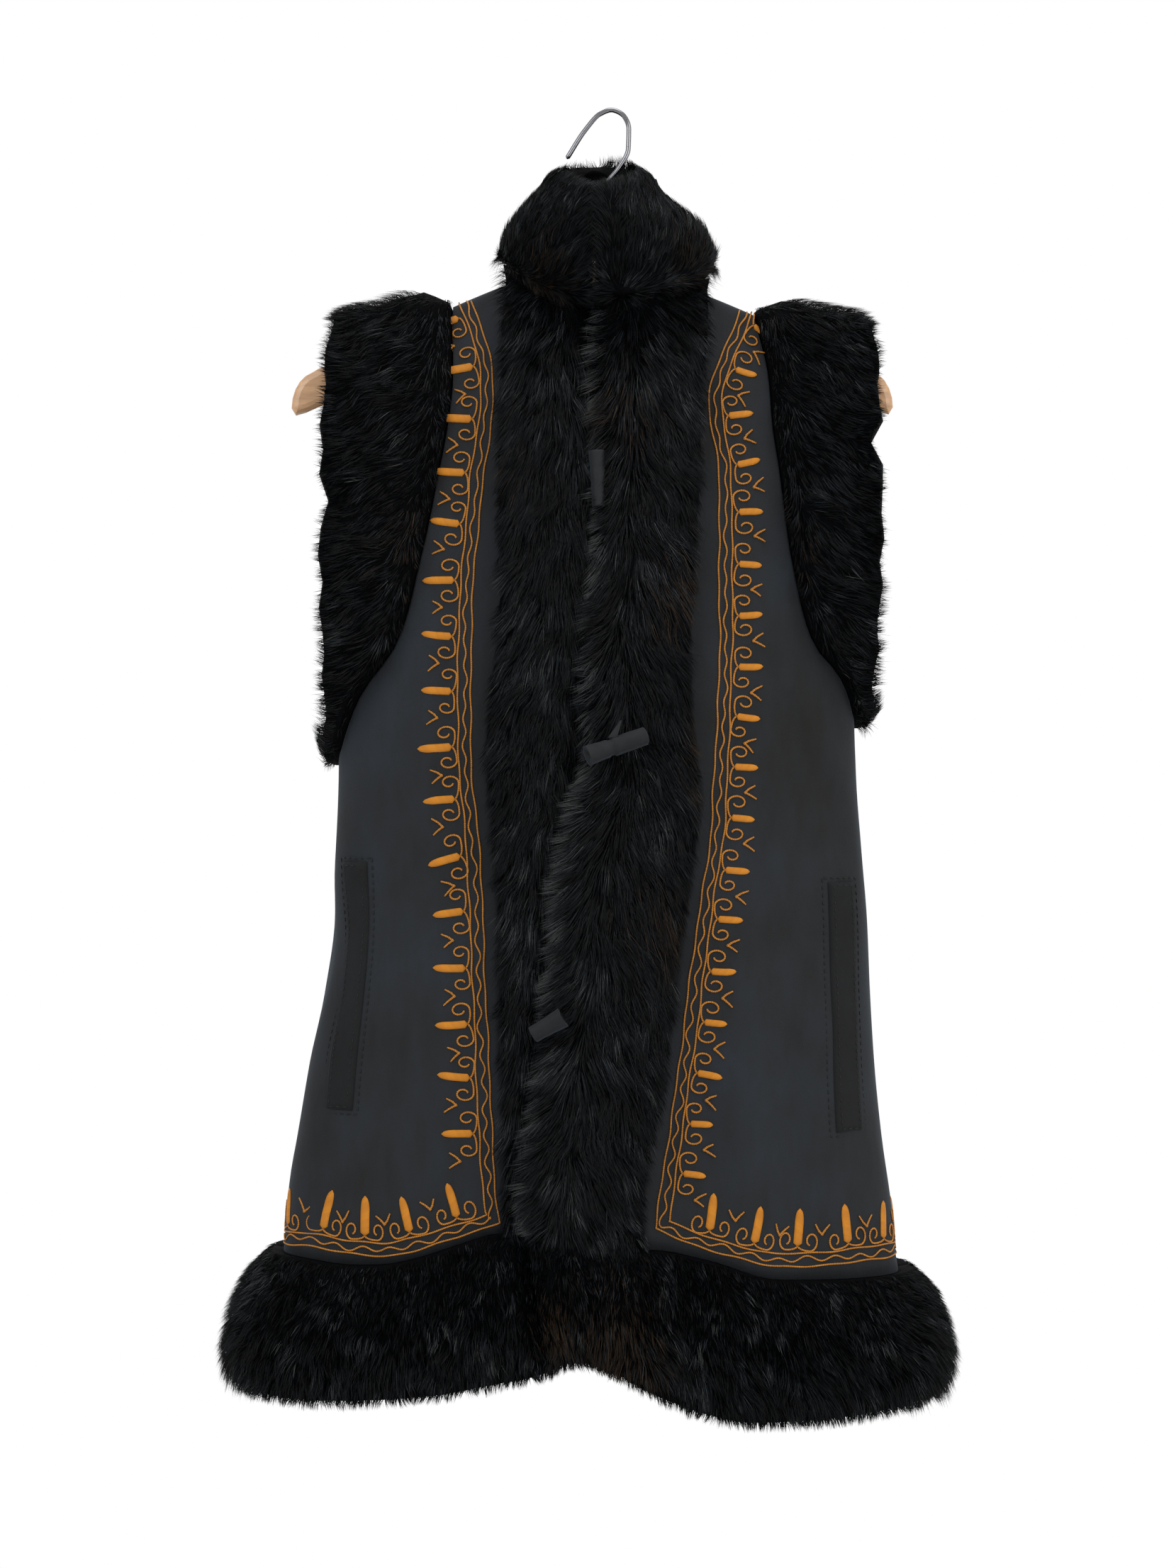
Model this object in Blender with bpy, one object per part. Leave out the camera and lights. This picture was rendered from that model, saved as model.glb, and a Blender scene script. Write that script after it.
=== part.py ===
"""A fur-trimmed suede folk vest hanging on a wooden coat hanger.

The model is in metres with +Z up, and every size below is in millimetres. The origin is the point under
the top of the hanger's hook that rests on what carries it. +X is the viewer's right and the fronts face -Y.

One rule gives the whole cloth. A point of it has an angle, 0 at the centre of the front, positive toward
+X and 180 degrees at the centre of the back, and a height. Panels, fur bands and pocket welts are grids of
such points. Each is moved in and out along the cloth's normal, so that seams stay parallel and open by the
same small gap.
"""

import math

import bmesh
import bpy
import numpy as np

MM = 0.001
SEAM_GAP = 0.35
PILE_GAP = 0.5
TRIM_GAP = 1.2
COLLAR_GAP = 1.2
SUEDE = 3.0
HIDE = 3.0

# The hanger's middle, the fall of the shoulder line away from it, and how square the fronts turn the sides
MIDDLE_X = -4.0
SHOULDER_TOP = -92.0
SHOULDER_FALL = 0.42
SIDE_TURN = 0.55

# Where the armholes end below, on either side
UNDERARM = {"left": -458.0, "right": -432.0}
SIGN = {"left": -1.0, "right": 1.0}
ROW = {"left": 0, "right": 1}

# The height of the neck's front, and how far its back lies below the shoulder line
NECK_FRONT_Z = -145.0
NECK_BACK_DROP = 18.0

# The right front lies over the left one and is lifted by the fur pressed under it. The lift starts at a
# height, grows on the way down, and fades out past the left front's hidden edge
OVERLAP_LIFT = 10.0
PRESSED_PILE = 6.0
LIFT_TOP = -330.0
LIFT_RISE = 125.0
LIFT_PAST = 4.0
LIFT_FADE = 42.0

BAND_PILE = 18.0
HEM_PILE = 27.0
TRIM_PILE = 16.0
COLLAR_SEAM_PILE = 8.0
LEAST_PILE = 3.0

# The cloth's depth beside the side seams, from which their angle is worked out
SIDE_DEPTH = 75.0

# Columns of the grids: across a suede front, along the back's neck, and on each of the back's shoulders
FRONT_COLUMNS = 13
NECK_COLUMNS = 13
SHOULDER_COLUMNS = 4


def columns(names, *rows):
    """Return a table as arrays by column name. The first column is the one that it is read at."""
    return dict(zip(names.split(), np.array(rows, float).T))


# The cloth's outer half widths from x = 0
BODY = columns(
    "height left right",
    (-930, 243, 227),
    (-890, 241, 224),
    (-850, 235, 219),
    (-800, 222, 208),
    (-766, 219, 205),
    (-716, 210, 198),
    (-666, 202, 193),
    (-616, 193, 190),
    (-566, 186, 188),
    (-516, 184, 184),
    (-460, 183, 180),
    (-420, 184, 179),
    (-300, 186, 182),
    (-100, 186, 182),
)

# How deep the cloth is before and behind the hanger, by the drop below the shoulder line
DEPTH = columns(
    "drop front back",
    (0, 0, 0),
    (1, 5.6, 5.6),
    (3, 8.8, 8.8),
    (6, 11.0, 11.0),
    (12, 13.5, 13.0),
    (24, 19, 17),
    (45, 28, 24),
    (80, 38, 33),
    (130, 47, 42),
    (200, 54, 49),
    (300, 60, 55),
    (400, 64, 60),
    (500, 68, 64),
    (600, 72, 69),
    (700, 77, 74),
    (820, 84, 80),
)

# Where suede meets the fur of the fronts
FUR_SEAM = columns(
    "height left right",
    (-800, -66, 30),
    (-740, -64, 25),
    (-703, -64, 33),
    (-660, -66, 42),
    (-573, -67, 54),
    (-500, -71, 65),
    (-480, -73, 68),
    (-450, -76, 63),
    (-385, -70, 60),
    (-308, -66, 65),
    (-269, -69, 67),
    (-200, -68, 70),
    (-150, -66, 74),
    (-116, -62, 72),
)

# The free edge of the right front, and how far the left one runs on under it
FRONT_EDGE = columns(
    "height edge overlap",
    (-900, -30, 44),
    (-840, -38, 46),
    (-790, -46, 50),
    (-745, -49, 50),
    (-705, -44, 50),
    (-655, -37, 42),
    (-605, -31, 33),
    (-550, -27, 25),
    (-510, -22, 17),
    (-472, -12, -0.5),
    (-440, -9, -0.5),
    (-380, -7, -0.5),
    (-264, -1, -0.5),
    (-190, -4, -0.5),
    (-100, -4, -0.5),
)

# Where suede meets the fur of the armholes, above the underarm
ARMHOLE_LEFT = columns(
    "height x",
    (-458, -183),
    (-440, -178),
    (-412, -167),
    (-395, -156),
    (-382, -145),
    (-357, -134),
    (-328, -127),
    (-290, -118),
    (-258, -112),
    (-226, -106),
    (-188, -102),
    (-133, -103),
)
ARMHOLE_RIGHT = columns(
    "height x",
    (-432, 179),
    (-412, 174),
    (-395, 166),
    (-386, 158),
    (-376, 149),
    (-352, 141),
    (-330, 136),
    (-304, 131),
    (-272, 127),
    (-248, 124),
    (-220, 120),
    (-188, 118),
    (-139, 108),
)
ARMHOLE = {"left": ARMHOLE_LEFT, "right": ARMHOLE_RIGHT}

# The lower edge of the suede and the lowest reach of the hem's fur, before and behind
HEM = columns(
    "x front back",
    (-222, -796, -796),
    (-209, -797, -797),
    (-170, -800, -799),
    (-149, -799, -800),
    (-129, -795, -801),
    (-98, -785, -802),
    (-67, -776, -802),
    (-50, -776, -802),
    (20, -787, -803),
    (33, -787, -803),
    (74, -795, -805),
    (122, -809, -807),
    (172, -810, -809),
    (208, -810, -810),
)
FUR_REACH = columns(
    "x front back",
    (-240, -897, -897),
    (-180, -899, -897),
    (-142, -897, -897),
    (-99, -892, -896),
    (-61, -882, -894),
    (-27, -867, -893),
    (2, -873, -893),
    (26, -885, -893),
    (54, -900, -894),
    (97, -911, -896),
    (121, -911, -897),
    (196, -905, -898),
    (224, -895, -895),
)

# How thick fur is, as a share of its pile: the hem's from its seam down to its tips, a trim's from its seam
# out to its rim, and a front band's by height
HEM_PROFILE = columns(
    "down share",
    (0, 0.4),
    (0.12, 0.74),
    (0.32, 0.95),
    (0.6, 1),
    (0.8, 0.8),
    (0.93, 0.42),
    (1, 0.08),
)
TRIM_PROFILE = columns("out share", (0, 0.3), (0.12, 0.75), (0.34, 1), (0.62, 1), (0.86, 0.85), (1, 0.5))
BAND_PROFILE = columns("height share", (-800, 0.5), (-762, 0.55), (-745, 1.0), (-100, 1.0))

# Soft folds: a ridge is positive and a trough negative, and each fades toward its ends
FOLDS = columns(
    "face x_top top x_bottom bottom width size",
    (1, -136, -375, -178, -560, 16, 5.0),
    (1, -180, -610, -206, -760, 15, 4.5),
    (1, -168, -470, -196, -790, 13, -2.5),
    (1, 138, -350, 160, -470, 14, 4.0),
    (1, 96, -520, 100, -790, 17, 3.0),
    (1, 150, -560, 160, -800, 18, 3.5),
    (1, -120, -560, -130, -800, 22, 3.0),
    (-1, -60, -330, -90, -800, 20, 4.5),
    (-1, 40, -380, 55, -800, 24, -4.0),
    (-1, 120, -420, 140, -800, 20, 4.5),
    (-1, -150, -460, -170, -800, 18, 3.5),
)

# The collar's hide: a row for each ring, with its reach to the four sides and its height there
COLLAR = columns(
    "ring left right front back front_height side_height back_height inside pile",
    (1, -58, 70, 43, 30, -126, -106, -95, 3.5, 13),
    (2, -54, 62, 47, 38, -106, -88, -72, 5, 14),
    (3, -45, 46, 45, 42, -86, -71, -50, 6, 13),
    (4, -32, 32, 37, 42, -71, -57, -36, 6, 11),
    (5, -25, 24, 30, 40, -65, -48, -29, 4, 7),
)

# How far the collar reaches round the neck's seam to either side, and the height that its foot leans toward
NECK_REACH = {"left": 58.0, "right": 76.0}
NECK_LEAN_HEIGHT = 60.0

# Tight corners where a seam needs more room: the place along it, the width there, and the room in millimetres
NECK_CORNER = {"place": 0.93, "width": 0.08, "room": 1.0}
TRIM_CORNER = {"place": 0.94, "width": 0.05, "room": 1.2}

# The armhole trims' rims, as upright ovals out at the sides, a row for the left and one for the right
TRIM_RIM = columns(
    "sign x_top x_mid x_low top low deep",
    (-1, -184, -191, -186, -150, -438, 58),
    (1, 190, 193, 184, -154, -414, 57),
)

# The shares of the way from a trim's seam to its rim at which its rows lie
TRIM_ROWS = np.array([0, 0.12, 0.34, 0.62, 0.86, 1.0])

# Where two pieces of fur meet in each trim, and the pile parts
TRIM_NOTCH = {"left": -272.0, "right": -238.0}

# The toggles, each from its thick end to its thin one, with the room between it and the fur below, and how
# wide and deep they press the fur
TOGGLES = columns(
    "number x_thick thick_height x_thin thin_height thick thin clear",
    (1, -2, -243, -1, -281, 12, 9, 1.0),
    (2, -8, -452, 24, -438, 16, 13, 5.9),
    (3, -44, -640, -24, -628, 12, 15, 1.0),
)
PRESS_WIDTH = 15.0
PRESS_DEPTH = 7.0

# Pocket welts: their heights, and their angles at the four corners, a row for the left and one for the right
WELTS = columns(
    "sign top low in_top out_top in_low out_low",
    (-1, -524, -695, -60, -72, -55.5, -66),
    (1, -538, -710, 58, 71, 55, 67),
)
WELT_THICKNESS = 1.4
WELT_GAP = 0.9

# The bar's drooped ends: how long each is, how far its top curves down, and its lip's two lower corners
WOOD_END_LENGTH = 19.0
WOOD_DROP = 26.0
WOOD_LIP = columns("corner back down", (0, 3, 33), (1, 10, 31))

# How far the wood lies lower under the collar: by how much, within what reach, and over what length it rises
WOOD_SINK = {"deep": 2.5, "reach": 74.0, "length": 12.0}

# The hanger: its wood, and the centre line of its wire from the tip over the top to the wood
WOOD_THICKNESS = 12.0
WOOD_HEIGHT = 27.0
WOOD_ROUNDING = 5.0
WOOD_END = {"left": -217.0, "right": 207.0}
WIRE = 3.5
HOOK = columns(
    "point x height",
    (0, -23, -29.0),
    (1, -10.5, -9.5),
    (2, 0.5, 2.6),
    (3, 8.5, 5.4),
    (4, 16.5, 2.0),
    (5, 20.8, -8),
    (6, 20.4, -22),
    (7, 13.5, -36),
    (8, 5.5, -46),
    (9, -0.5, -57),
    (10, -3.5, -68),
    (11, -4, -80),
)

COLOURS = {
    "suede": (0.0145, 0.0160, 0.0180, 0.95, 0.0),
    "welt": (0.0105, 0.0115, 0.0130, 0.95, 0.0),
    "fur": (0.0030, 0.0040, 0.0052, 0.85, 0.0),
    "leather": (0.0200, 0.0220, 0.0260, 0.70, 0.0),
    "wood": (0.5200, 0.3100, 0.1500, 0.45, 0.0),
    "chrome": (0.6200, 0.6200, 0.6200, 0.18, 1.0),
}


def read(table, column, at):
    """Read a table's column at values of its first one, by a curve that passes its rows with no overshoot."""
    keys = table[next(iter(table))]
    values = table[column]
    if keys[0] > keys[-1]:
        keys, values = keys[::-1], values[::-1]
    step = np.diff(keys)
    slope = np.diff(values) / step
    before, after = slope[:-1], slope[1:]
    same_way = before * after > 0
    total = np.where(same_way, before + after, 1.0)
    inner = np.where(same_way, 2 * before * after / total, 0.0)
    slopes = np.concatenate([slope[:1], inner, slope[-1:]])
    at = np.clip(np.asarray(at, float), keys[0], keys[-1])
    row = np.clip(np.searchsorted(keys, at) - 1, 0, len(step) - 1)
    part = (at - keys[row]) / step[row]
    rest = 1 - part
    start = rest**2 * ((1 + 2 * part) * values[row] + part * step[row] * slopes[row])
    end = part**2 * ((1 + 2 * rest) * values[row + 1] - rest * step[row] * slopes[row + 1])
    return start + end


def ease(value):
    """Go from 0 to 1 as the value does, starting and ending level."""
    value = np.clip(value, 0.0, 1.0)
    return value**2 * (3 - 2 * value)


def blend(start, end, share):
    return start + (end - start) * share


def unit(vectors):
    return vectors / np.maximum(np.linalg.norm(vectors, axis=-1, keepdims=True), 1e-9)


def row_of(table, number):
    """Return one row of a table as numbers by column name."""
    return {name: column[number] for name, column in table.items()}


def bell(value, middle, width):
    """Return a bell that is 1 at the middle."""
    return np.exp(-(((value - middle) / width) ** 2))


def shoulder(x):
    """Return the height of the shoulder line, the cloth's top, at x."""
    return SHOULDER_TOP - SHOULDER_FALL * np.sqrt((x - MIDDLE_X) ** 2 + 36.0)


def hidden_edge(height):
    """Return where the left front ends under the right one."""
    return read(FRONT_EDGE, "edge", height) + read(FRONT_EDGE, "overlap", height)


def half_width(angle, height):
    return np.where(np.sin(angle) < 0, read(BODY, "left", height), read(BODY, "right", height))


def angle_at(x, height):
    """Return the angle on the front at which the cloth is at x."""
    side = np.where(np.asarray(x) < 0, -1.0, 1.0)
    width = half_width(side, height)
    return np.arcsin(np.clip(x / width, -1.0, 1.0))


def fold_push(x, height, face):
    """Add up the folds' push on the face before (1) or behind (-1)."""
    push = np.zeros(np.shape(x))
    for row in range(len(FOLDS["face"])):
        fold = row_of(FOLDS, row)
        along = (fold["top"] - height) / (fold["top"] - fold["bottom"])
        middle = blend(fold["x_top"], fold["x_bottom"], along)
        fade = ease(along / 0.35) * ease((1.15 - along) / 0.35)
        rise = fold["size"] * fade * bell(x, middle, fold["width"])
        push += np.where(face == fold["face"], rise, 0.0)
    return push


def cloth(angle, height, over=False):
    """Return points on the cloth's outer face. With over set, it is the right front's, lifted by the left."""
    sine, cosine = np.sin(angle), np.cos(angle)
    width = half_width(angle, height)
    x = width * sine
    drop = np.maximum(shoulder(x) - height, 0.0)
    depth = np.where(cosine > 0, read(DEPTH, "front", drop), read(DEPTH, "back", drop))
    y = -np.sign(cosine) * np.maximum(depth, SEAM_GAP / 2) * np.abs(cosine) ** SIDE_TURN
    backward = -width * cosine * np.abs(cosine) ** (1 - SIDE_TURN)
    outward = unit(np.stack([depth * SIDE_TURN * sine, backward], axis=-1))
    push = fold_push(x, height, np.sign(cosine)) * ease(np.abs(cosine) / 0.12)
    if over:
        past = (x - hidden_edge(height) - LIFT_PAST) / LIFT_FADE
        down = (LIFT_TOP - height) / LIFT_RISE
        push = push + OVERLAP_LIFT * ease(down) * (1 - ease(past)) * (cosine > 0)
    x, y = x + outward[..., 0] * push, y + outward[..., 1] * push
    return np.stack([x, y, height + 0 * x], axis=-1)


def cloth_normal(angle, height, over=False):
    """Return the cloth's outward normals, upright at the shoulder line so that front and back agree there."""
    turn, rise = 0.006, 0.4
    across = cloth(angle + turn, height, over) - cloth(angle - turn, height, over)
    low = cloth(angle, height - rise, over)
    high = cloth(angle, height + rise, over)
    normal = unit(np.cross(across, high - low))
    x = half_width(angle, height) * np.sin(angle)
    drop = shoulder(x) - height
    slope = shoulder(x + 0.5) - shoulder(x - 0.5)
    ridge = unit(np.stack([-slope, 0 * x, 1 + 0 * x], axis=-1))
    share = ease(drop / 2.2)[..., None]
    return unit(blend(ridge, normal, share))


def lumps(points):
    """Return a fur surface's uneven lumps, from -1 to 1, by place."""
    x, y, z = points[..., 0], points[..., 1], points[..., 2]
    first = np.sin(x / 13 + z / 21 + 1.7) * np.sin(z / 17 - y / 15)
    second = np.sin(x / 8.0 - z / 12.5 + y / 9.0)
    return 0.6 * first + 0.4 * second


# The shares of the way down at which a grid's rows lie: from its top to the underarm, and on to the hem
ROWS_ABOVE = np.array(
    [0, 0.004, 0.017, 0.042, 0.085, 0.146, 0.25, 0.37, 0.5, 0.63, 0.75, 0.854, 0.933, 0.972, 0.993, 1]
)
ROWS_BELOW = np.linspace(0, 1, 13)[1:]


def rows_down(top, underarm, low):
    """Return heights down the rows of a grid whose columns start at top and end at low."""
    above = blend(top[None, :], underarm, ROWS_ABOVE[:, None])
    below = blend(underarm + 0 * low[None, :], low[None, :], ROWS_BELOW[:, None])
    return np.concatenate([above, below])


def left_band_x(height):
    """Return the left fur band's columns across: from its end under the right front to its seam."""
    hidden = hidden_edge(height)
    cover = read(FRONT_EDGE, "edge", height) - 2.0
    seam = read(FUR_SEAM, "left", height)
    visible = [blend(cover, seam, share) for share in (0, 0.14, 0.34, 0.62, 0.86, 1)]
    return np.stack([hidden, 0.5 * (hidden + cover), *visible])


def right_band_x(height):
    """Return the right fur band's columns across: from its free edge to its seam."""
    edge = read(FRONT_EDGE, "edge", height)
    seam = read(FUR_SEAM, "right", height)
    return np.stack([blend(edge, seam, share) for share in (0, 0.08, 0.22, 0.42, 0.66, 0.88, 1)])


BAND_X = {"left": left_band_x, "right": right_band_x}


def neck_front(x):
    """Return the height of the neck's seam on the front at x. It meets the shoulder at the fur's seams."""
    side = np.where(x < MIDDLE_X, read(FUR_SEAM, "left", -116.0), read(FUR_SEAM, "right", -120.0))
    share = np.clip((x - MIDDLE_X) / (side - MIDDLE_X), 0, 1) ** 2
    return blend(NECK_FRONT_Z, shoulder(side), share)


def band_grid(side):
    """Return the angles and heights of a front fur band's grid, rows down and columns toward the side."""
    start = BAND_X[side](np.array(-140.0))
    top = neck_front(start)
    top[-1] = shoulder(start[-1])
    underarm = UNDERARM[side]
    low = read(HEM, "front", BAND_X[side](np.array(-785.0)))
    height = rows_down(top, underarm, low)
    columns_down = [BAND_X[side](height[:, column])[column] for column in range(len(top))]
    x = np.stack(columns_down, axis=1)
    return angle_at(x, height), height


# How far the side seams stop short of the side, as an angle: each edge gives a little over half of the gap
SIDE_SEAM_ANGLE = (SEAM_GAP * 0.6 / SIDE_DEPTH) ** (1 / SIDE_TURN)


def armhole_angle(side, height):
    """Return the front's outer edge as an angle: the armhole down to the underarm, and below it the side."""
    table = ARMHOLE[side]
    x = read(table, "x", height)
    width = read(BODY, side, height)
    angle = np.arcsin(np.clip(np.abs(x) / width, 0, 1))
    share = np.sqrt(np.clip((height - UNDERARM[side]) / 12.0, 0, 1))
    above = blend(math.pi / 2, angle, share)
    return SIGN[side] * np.where(height <= UNDERARM[side], math.pi / 2, above)


def panel_grid(side):
    """Return the angles and heights of a suede front's grid, rows down and columns from fur to side seam."""
    sign = SIGN[side]
    shares = np.linspace(0, 1, FRONT_COLUMNS)
    band_angle, band_height = band_grid(side)
    x_in = read(FUR_SEAM, side, band_height[0, -1]) + sign * PILE_GAP
    top = shoulder(blend(x_in, ARMHOLE[side]["x"][-1], shares))
    turned = np.sin(blend(abs(band_angle[-1, -1]), math.pi / 2, shares))
    low = read(HEM, "front", read(BODY, side, -800.0) * sign * turned)
    low[0] = band_height[-1, -1]
    height = rows_down(top, UNDERARM[side], low)
    inner = angle_at(read(FUR_SEAM, side, height[:, :1]) + sign * PILE_GAP, height[:, :1])
    outer = armhole_angle(side, height[:, -1:])
    side_seam = math.pi / 2 - SIDE_SEAM_ANGLE
    outer = np.clip(outer, -side_seam, side_seam)
    return blend(inner, outer, shares[None, :]), height


def back_grid():
    """Return the angles and heights of the back's grid, rows down and columns from the right to the left."""
    neck_right = read(FUR_SEAM, "right", -120.0)
    neck_left = read(FUR_SEAM, "left", -116.0)
    turns = np.linspace(math.pi / 2, -math.pi / 2, NECK_COLUMNS)
    reach = np.where(turns > 0, neck_right - MIDDLE_X, MIDDLE_X - neck_left)
    neck_x = MIDDLE_X + reach * np.sin(turns)
    right_x = np.linspace(ARMHOLE_RIGHT["x"][-1], neck_right, SHOULDER_COLUMNS)[:-1]
    left_x = np.linspace(neck_left, ARMHOLE_LEFT["x"][-1], SHOULDER_COLUMNS)[1:]
    x = np.concatenate([right_x, neck_x, left_x])
    neck = shoulder(neck_x) - NECK_BACK_DROP * np.cos(turns) ** 2
    top = np.concatenate([shoulder(right_x), neck, shoulder(left_x)])
    around_top = math.pi - angle_at(x, top)
    share = (around_top - around_top[0]) / (around_top[-1] - around_top[0])
    underarm = blend(UNDERARM["right"], UNDERARM["left"], share)
    hem_angle = blend(math.pi / 2, 1.5 * math.pi, share)
    low = read(HEM, "back", half_width(hem_angle, -800.0) * np.sin(hem_angle))
    height = rows_down(top, underarm, low)
    side_seam = math.pi / 2 - SIDE_SEAM_ANGLE
    right = math.pi - np.minimum(armhole_angle("right", height[:, :1]), side_seam)
    left = math.pi - np.maximum(armhole_angle("left", height[:, -1:]), -side_seam)
    return blend(right, left, share[None, :]), height


def layers(angle, height, inside, outside, over=False):
    """Move a grid of the cloth in and out along its normals."""
    points = cloth(angle, height, over)
    normals = cloth_normal(angle, height, over)
    outside = (outside + 0 * height)[..., None]
    return points - normals * inside, points + normals * outside


def closed_body(name, inner, outer, colour, ring=False):
    """Make one closed body between two grids of points. A ring's last column is followed by its first."""
    rows, across = inner.shape[:2]
    index = np.arange(rows * across).reshape(rows, across)
    if ring:
        index = np.concatenate([index, index[:, :1]], axis=1)
    far = index + rows * across
    quads = [
        np.stack([index[:-1, :-1], index[:-1, 1:], index[1:, 1:], index[1:, :-1]], axis=-1),
        np.stack([far[:-1, :-1], far[1:, :-1], far[1:, 1:], far[:-1, 1:]], axis=-1),
        np.stack([index[0, :-1], far[0, :-1], far[0, 1:], index[0, 1:]], axis=-1),
        np.stack([index[-1, :-1], index[-1, 1:], far[-1, 1:], far[-1, :-1]], axis=-1),
    ]
    if not ring:
        quads.append(np.stack([index[:-1, 0], index[1:, 0], far[1:, 0], far[:-1, 0]], axis=-1))
        quads.append(np.stack([index[:-1, -1], far[:-1, -1], far[1:, -1], index[1:, -1]], axis=-1))
    points = np.concatenate([inner.reshape(-1, 3), outer.reshape(-1, 3)]) * MM
    faces = np.concatenate([quad.reshape(-1, 4) for quad in quads])
    mesh = bpy.data.meshes.new(name)
    mesh.from_pydata(points.tolist(), [], faces.tolist())
    return finish_body(name, mesh, colour)


def finish_body(name, mesh, colour):
    """Face the mesh outward, shade it and put it in the vest's collection."""
    body = bmesh.new()
    body.from_mesh(mesh)
    bmesh.ops.recalc_face_normals(body, faces=body.faces)
    body.to_mesh(mesh)
    body.free()
    mesh.shade_smooth()
    mesh.set_sharp_from_angle(angle=math.radians(50))
    mesh.materials.append(material(colour))
    made = bpy.data.objects.new(name, mesh)
    bpy.data.collections["folk_vest"].objects.link(made)
    return made


def material(name):
    """Return the named material, made on first use."""
    if name in bpy.data.materials:
        return bpy.data.materials[name]
    red, green, blue, roughness, metallic = COLOURS[name]
    made = bpy.data.materials.new(name)
    made.use_nodes = True
    shader = made.node_tree.nodes["Principled BSDF"]
    shader.inputs["Base Color"].default_value = (red, green, blue, 1.0)
    shader.inputs["Roughness"].default_value = roughness
    shader.inputs["Metallic"].default_value = metallic
    return made


def toggle_press(points):
    """Return how far the toggles press the fur in, from 0 to 1."""
    pressed = np.zeros(points.shape[:-1])
    for row in range(len(TOGGLES["number"])):
        toggle = row_of(TOGGLES, row)
        start = np.array([toggle["x_thick"], toggle["thick_height"]])
        end = np.array([toggle["x_thin"], toggle["thin_height"]])
        place = points[..., [0, 2]]
        along = np.clip(((place - start) @ (end - start)) / np.sum((end - start) ** 2), 0, 1)
        away = np.linalg.norm(place - blend(start, end, along[..., None]), axis=-1)
        pressed = np.maximum(pressed, bell(away, 0.0, PRESS_WIDTH))
    return pressed


def band_pile(side, angle, height):
    """Return a front band's pile: pressed where the right front covers it, and low at its edges."""
    x = half_width(angle, height) * np.sin(angle)
    edge = read(FRONT_EDGE, "edge", height)
    seam = read(FUR_SEAM, side, height)
    from_edge = (edge - 2.0 - x) / 20.0 if side == "left" else (x - edge) / 15.0
    from_seam = np.abs(seam - x) / 13.0
    points = cloth(angle, height)
    tall = BAND_PILE * read(BAND_PROFILE, "share", height)
    full = tall + 2.0 * lumps(points) - PRESS_DEPTH * toggle_press(points)
    rise = ease(from_edge) ** 0.6 * (0.45 + 0.55 * ease(from_seam))
    return PRESSED_PILE + (full - PRESSED_PILE) * rise


def make_front(side):
    """Make one front: its fur band, its suede panel and its stretch of the hem's fur."""
    over = side == "right"
    band_angle, band_height = band_grid(side)
    pile = band_pile(side, band_angle, band_height)
    inner, outer = layers(band_angle, band_height, HIDE, pile, over)
    closed_body(f"fur_front_{side}", inner, outer, "fur")
    panel_angle, panel_height = panel_grid(side)
    inner, outer = layers(panel_angle, panel_height, SUEDE, 0.0, over)
    closed_body(f"suede_front_{side}", inner, outer, "suede")
    hem_angle = np.concatenate([band_angle[-1], panel_angle[-1, 1:]])
    hem_height = np.concatenate([band_height[-1], panel_height[-1, 1:]])
    make_hem(f"fur_hem_front_{side}", hem_angle, hem_height, side, "front", over)


def make_hem(name, top_angle, top_height, side, face, over=False):
    """Make a stretch of the hem's fur under a row of seam points."""
    down = np.array([0, 0.1, 0.24, 0.42, 0.6, 0.78, 0.92, 1.0])[:, None]
    x = half_width(top_angle, top_height) * np.sin(top_angle)
    reach = read(FUR_REACH, face, x)
    height = blend(top_height[None, :] - SEAM_GAP, reach[None, :], down)
    angle = top_angle[None, :] + 0 * height
    if face == "front":
        for column in range(len(BAND_X[side](height[:, 0]))):
            angle[:, column] = angle_at(BAND_X[side](height[:, column])[column], height[:, column])
    points = cloth(angle, height, over)
    turned = ease(np.abs(np.sin(angle)) ** 6)
    full = HEM_PILE * (0.8 + 0.22 * turned) * read(HEM_PROFILE, "share", down)
    pile = full * (1 + 0.07 * lumps(points))
    if face == "front":
        edge = read(FRONT_EDGE, "edge", height)
        x = half_width(angle, height) * np.sin(angle)
        from_edge = (edge - 2.0 - x) / 22.0 if side == "left" else (x - edge) / 16.0
        low = np.minimum(PRESSED_PILE, pile)
        pile = low + (pile - low) * ease(from_edge) ** 0.6
    inner, outer = layers(angle, height, HIDE, pile, over)
    closed_body(name, inner, outer, "fur")


def make_back():
    """Make the back's suede panel and its stretch of the hem's fur."""
    angle, height = back_grid()
    inner, outer = layers(angle, height, SUEDE, 0.0)
    closed_body("suede_back", inner, outer, "suede")
    make_hem("fur_hem_back", angle[-1], height[-1], "both", "back")


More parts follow.
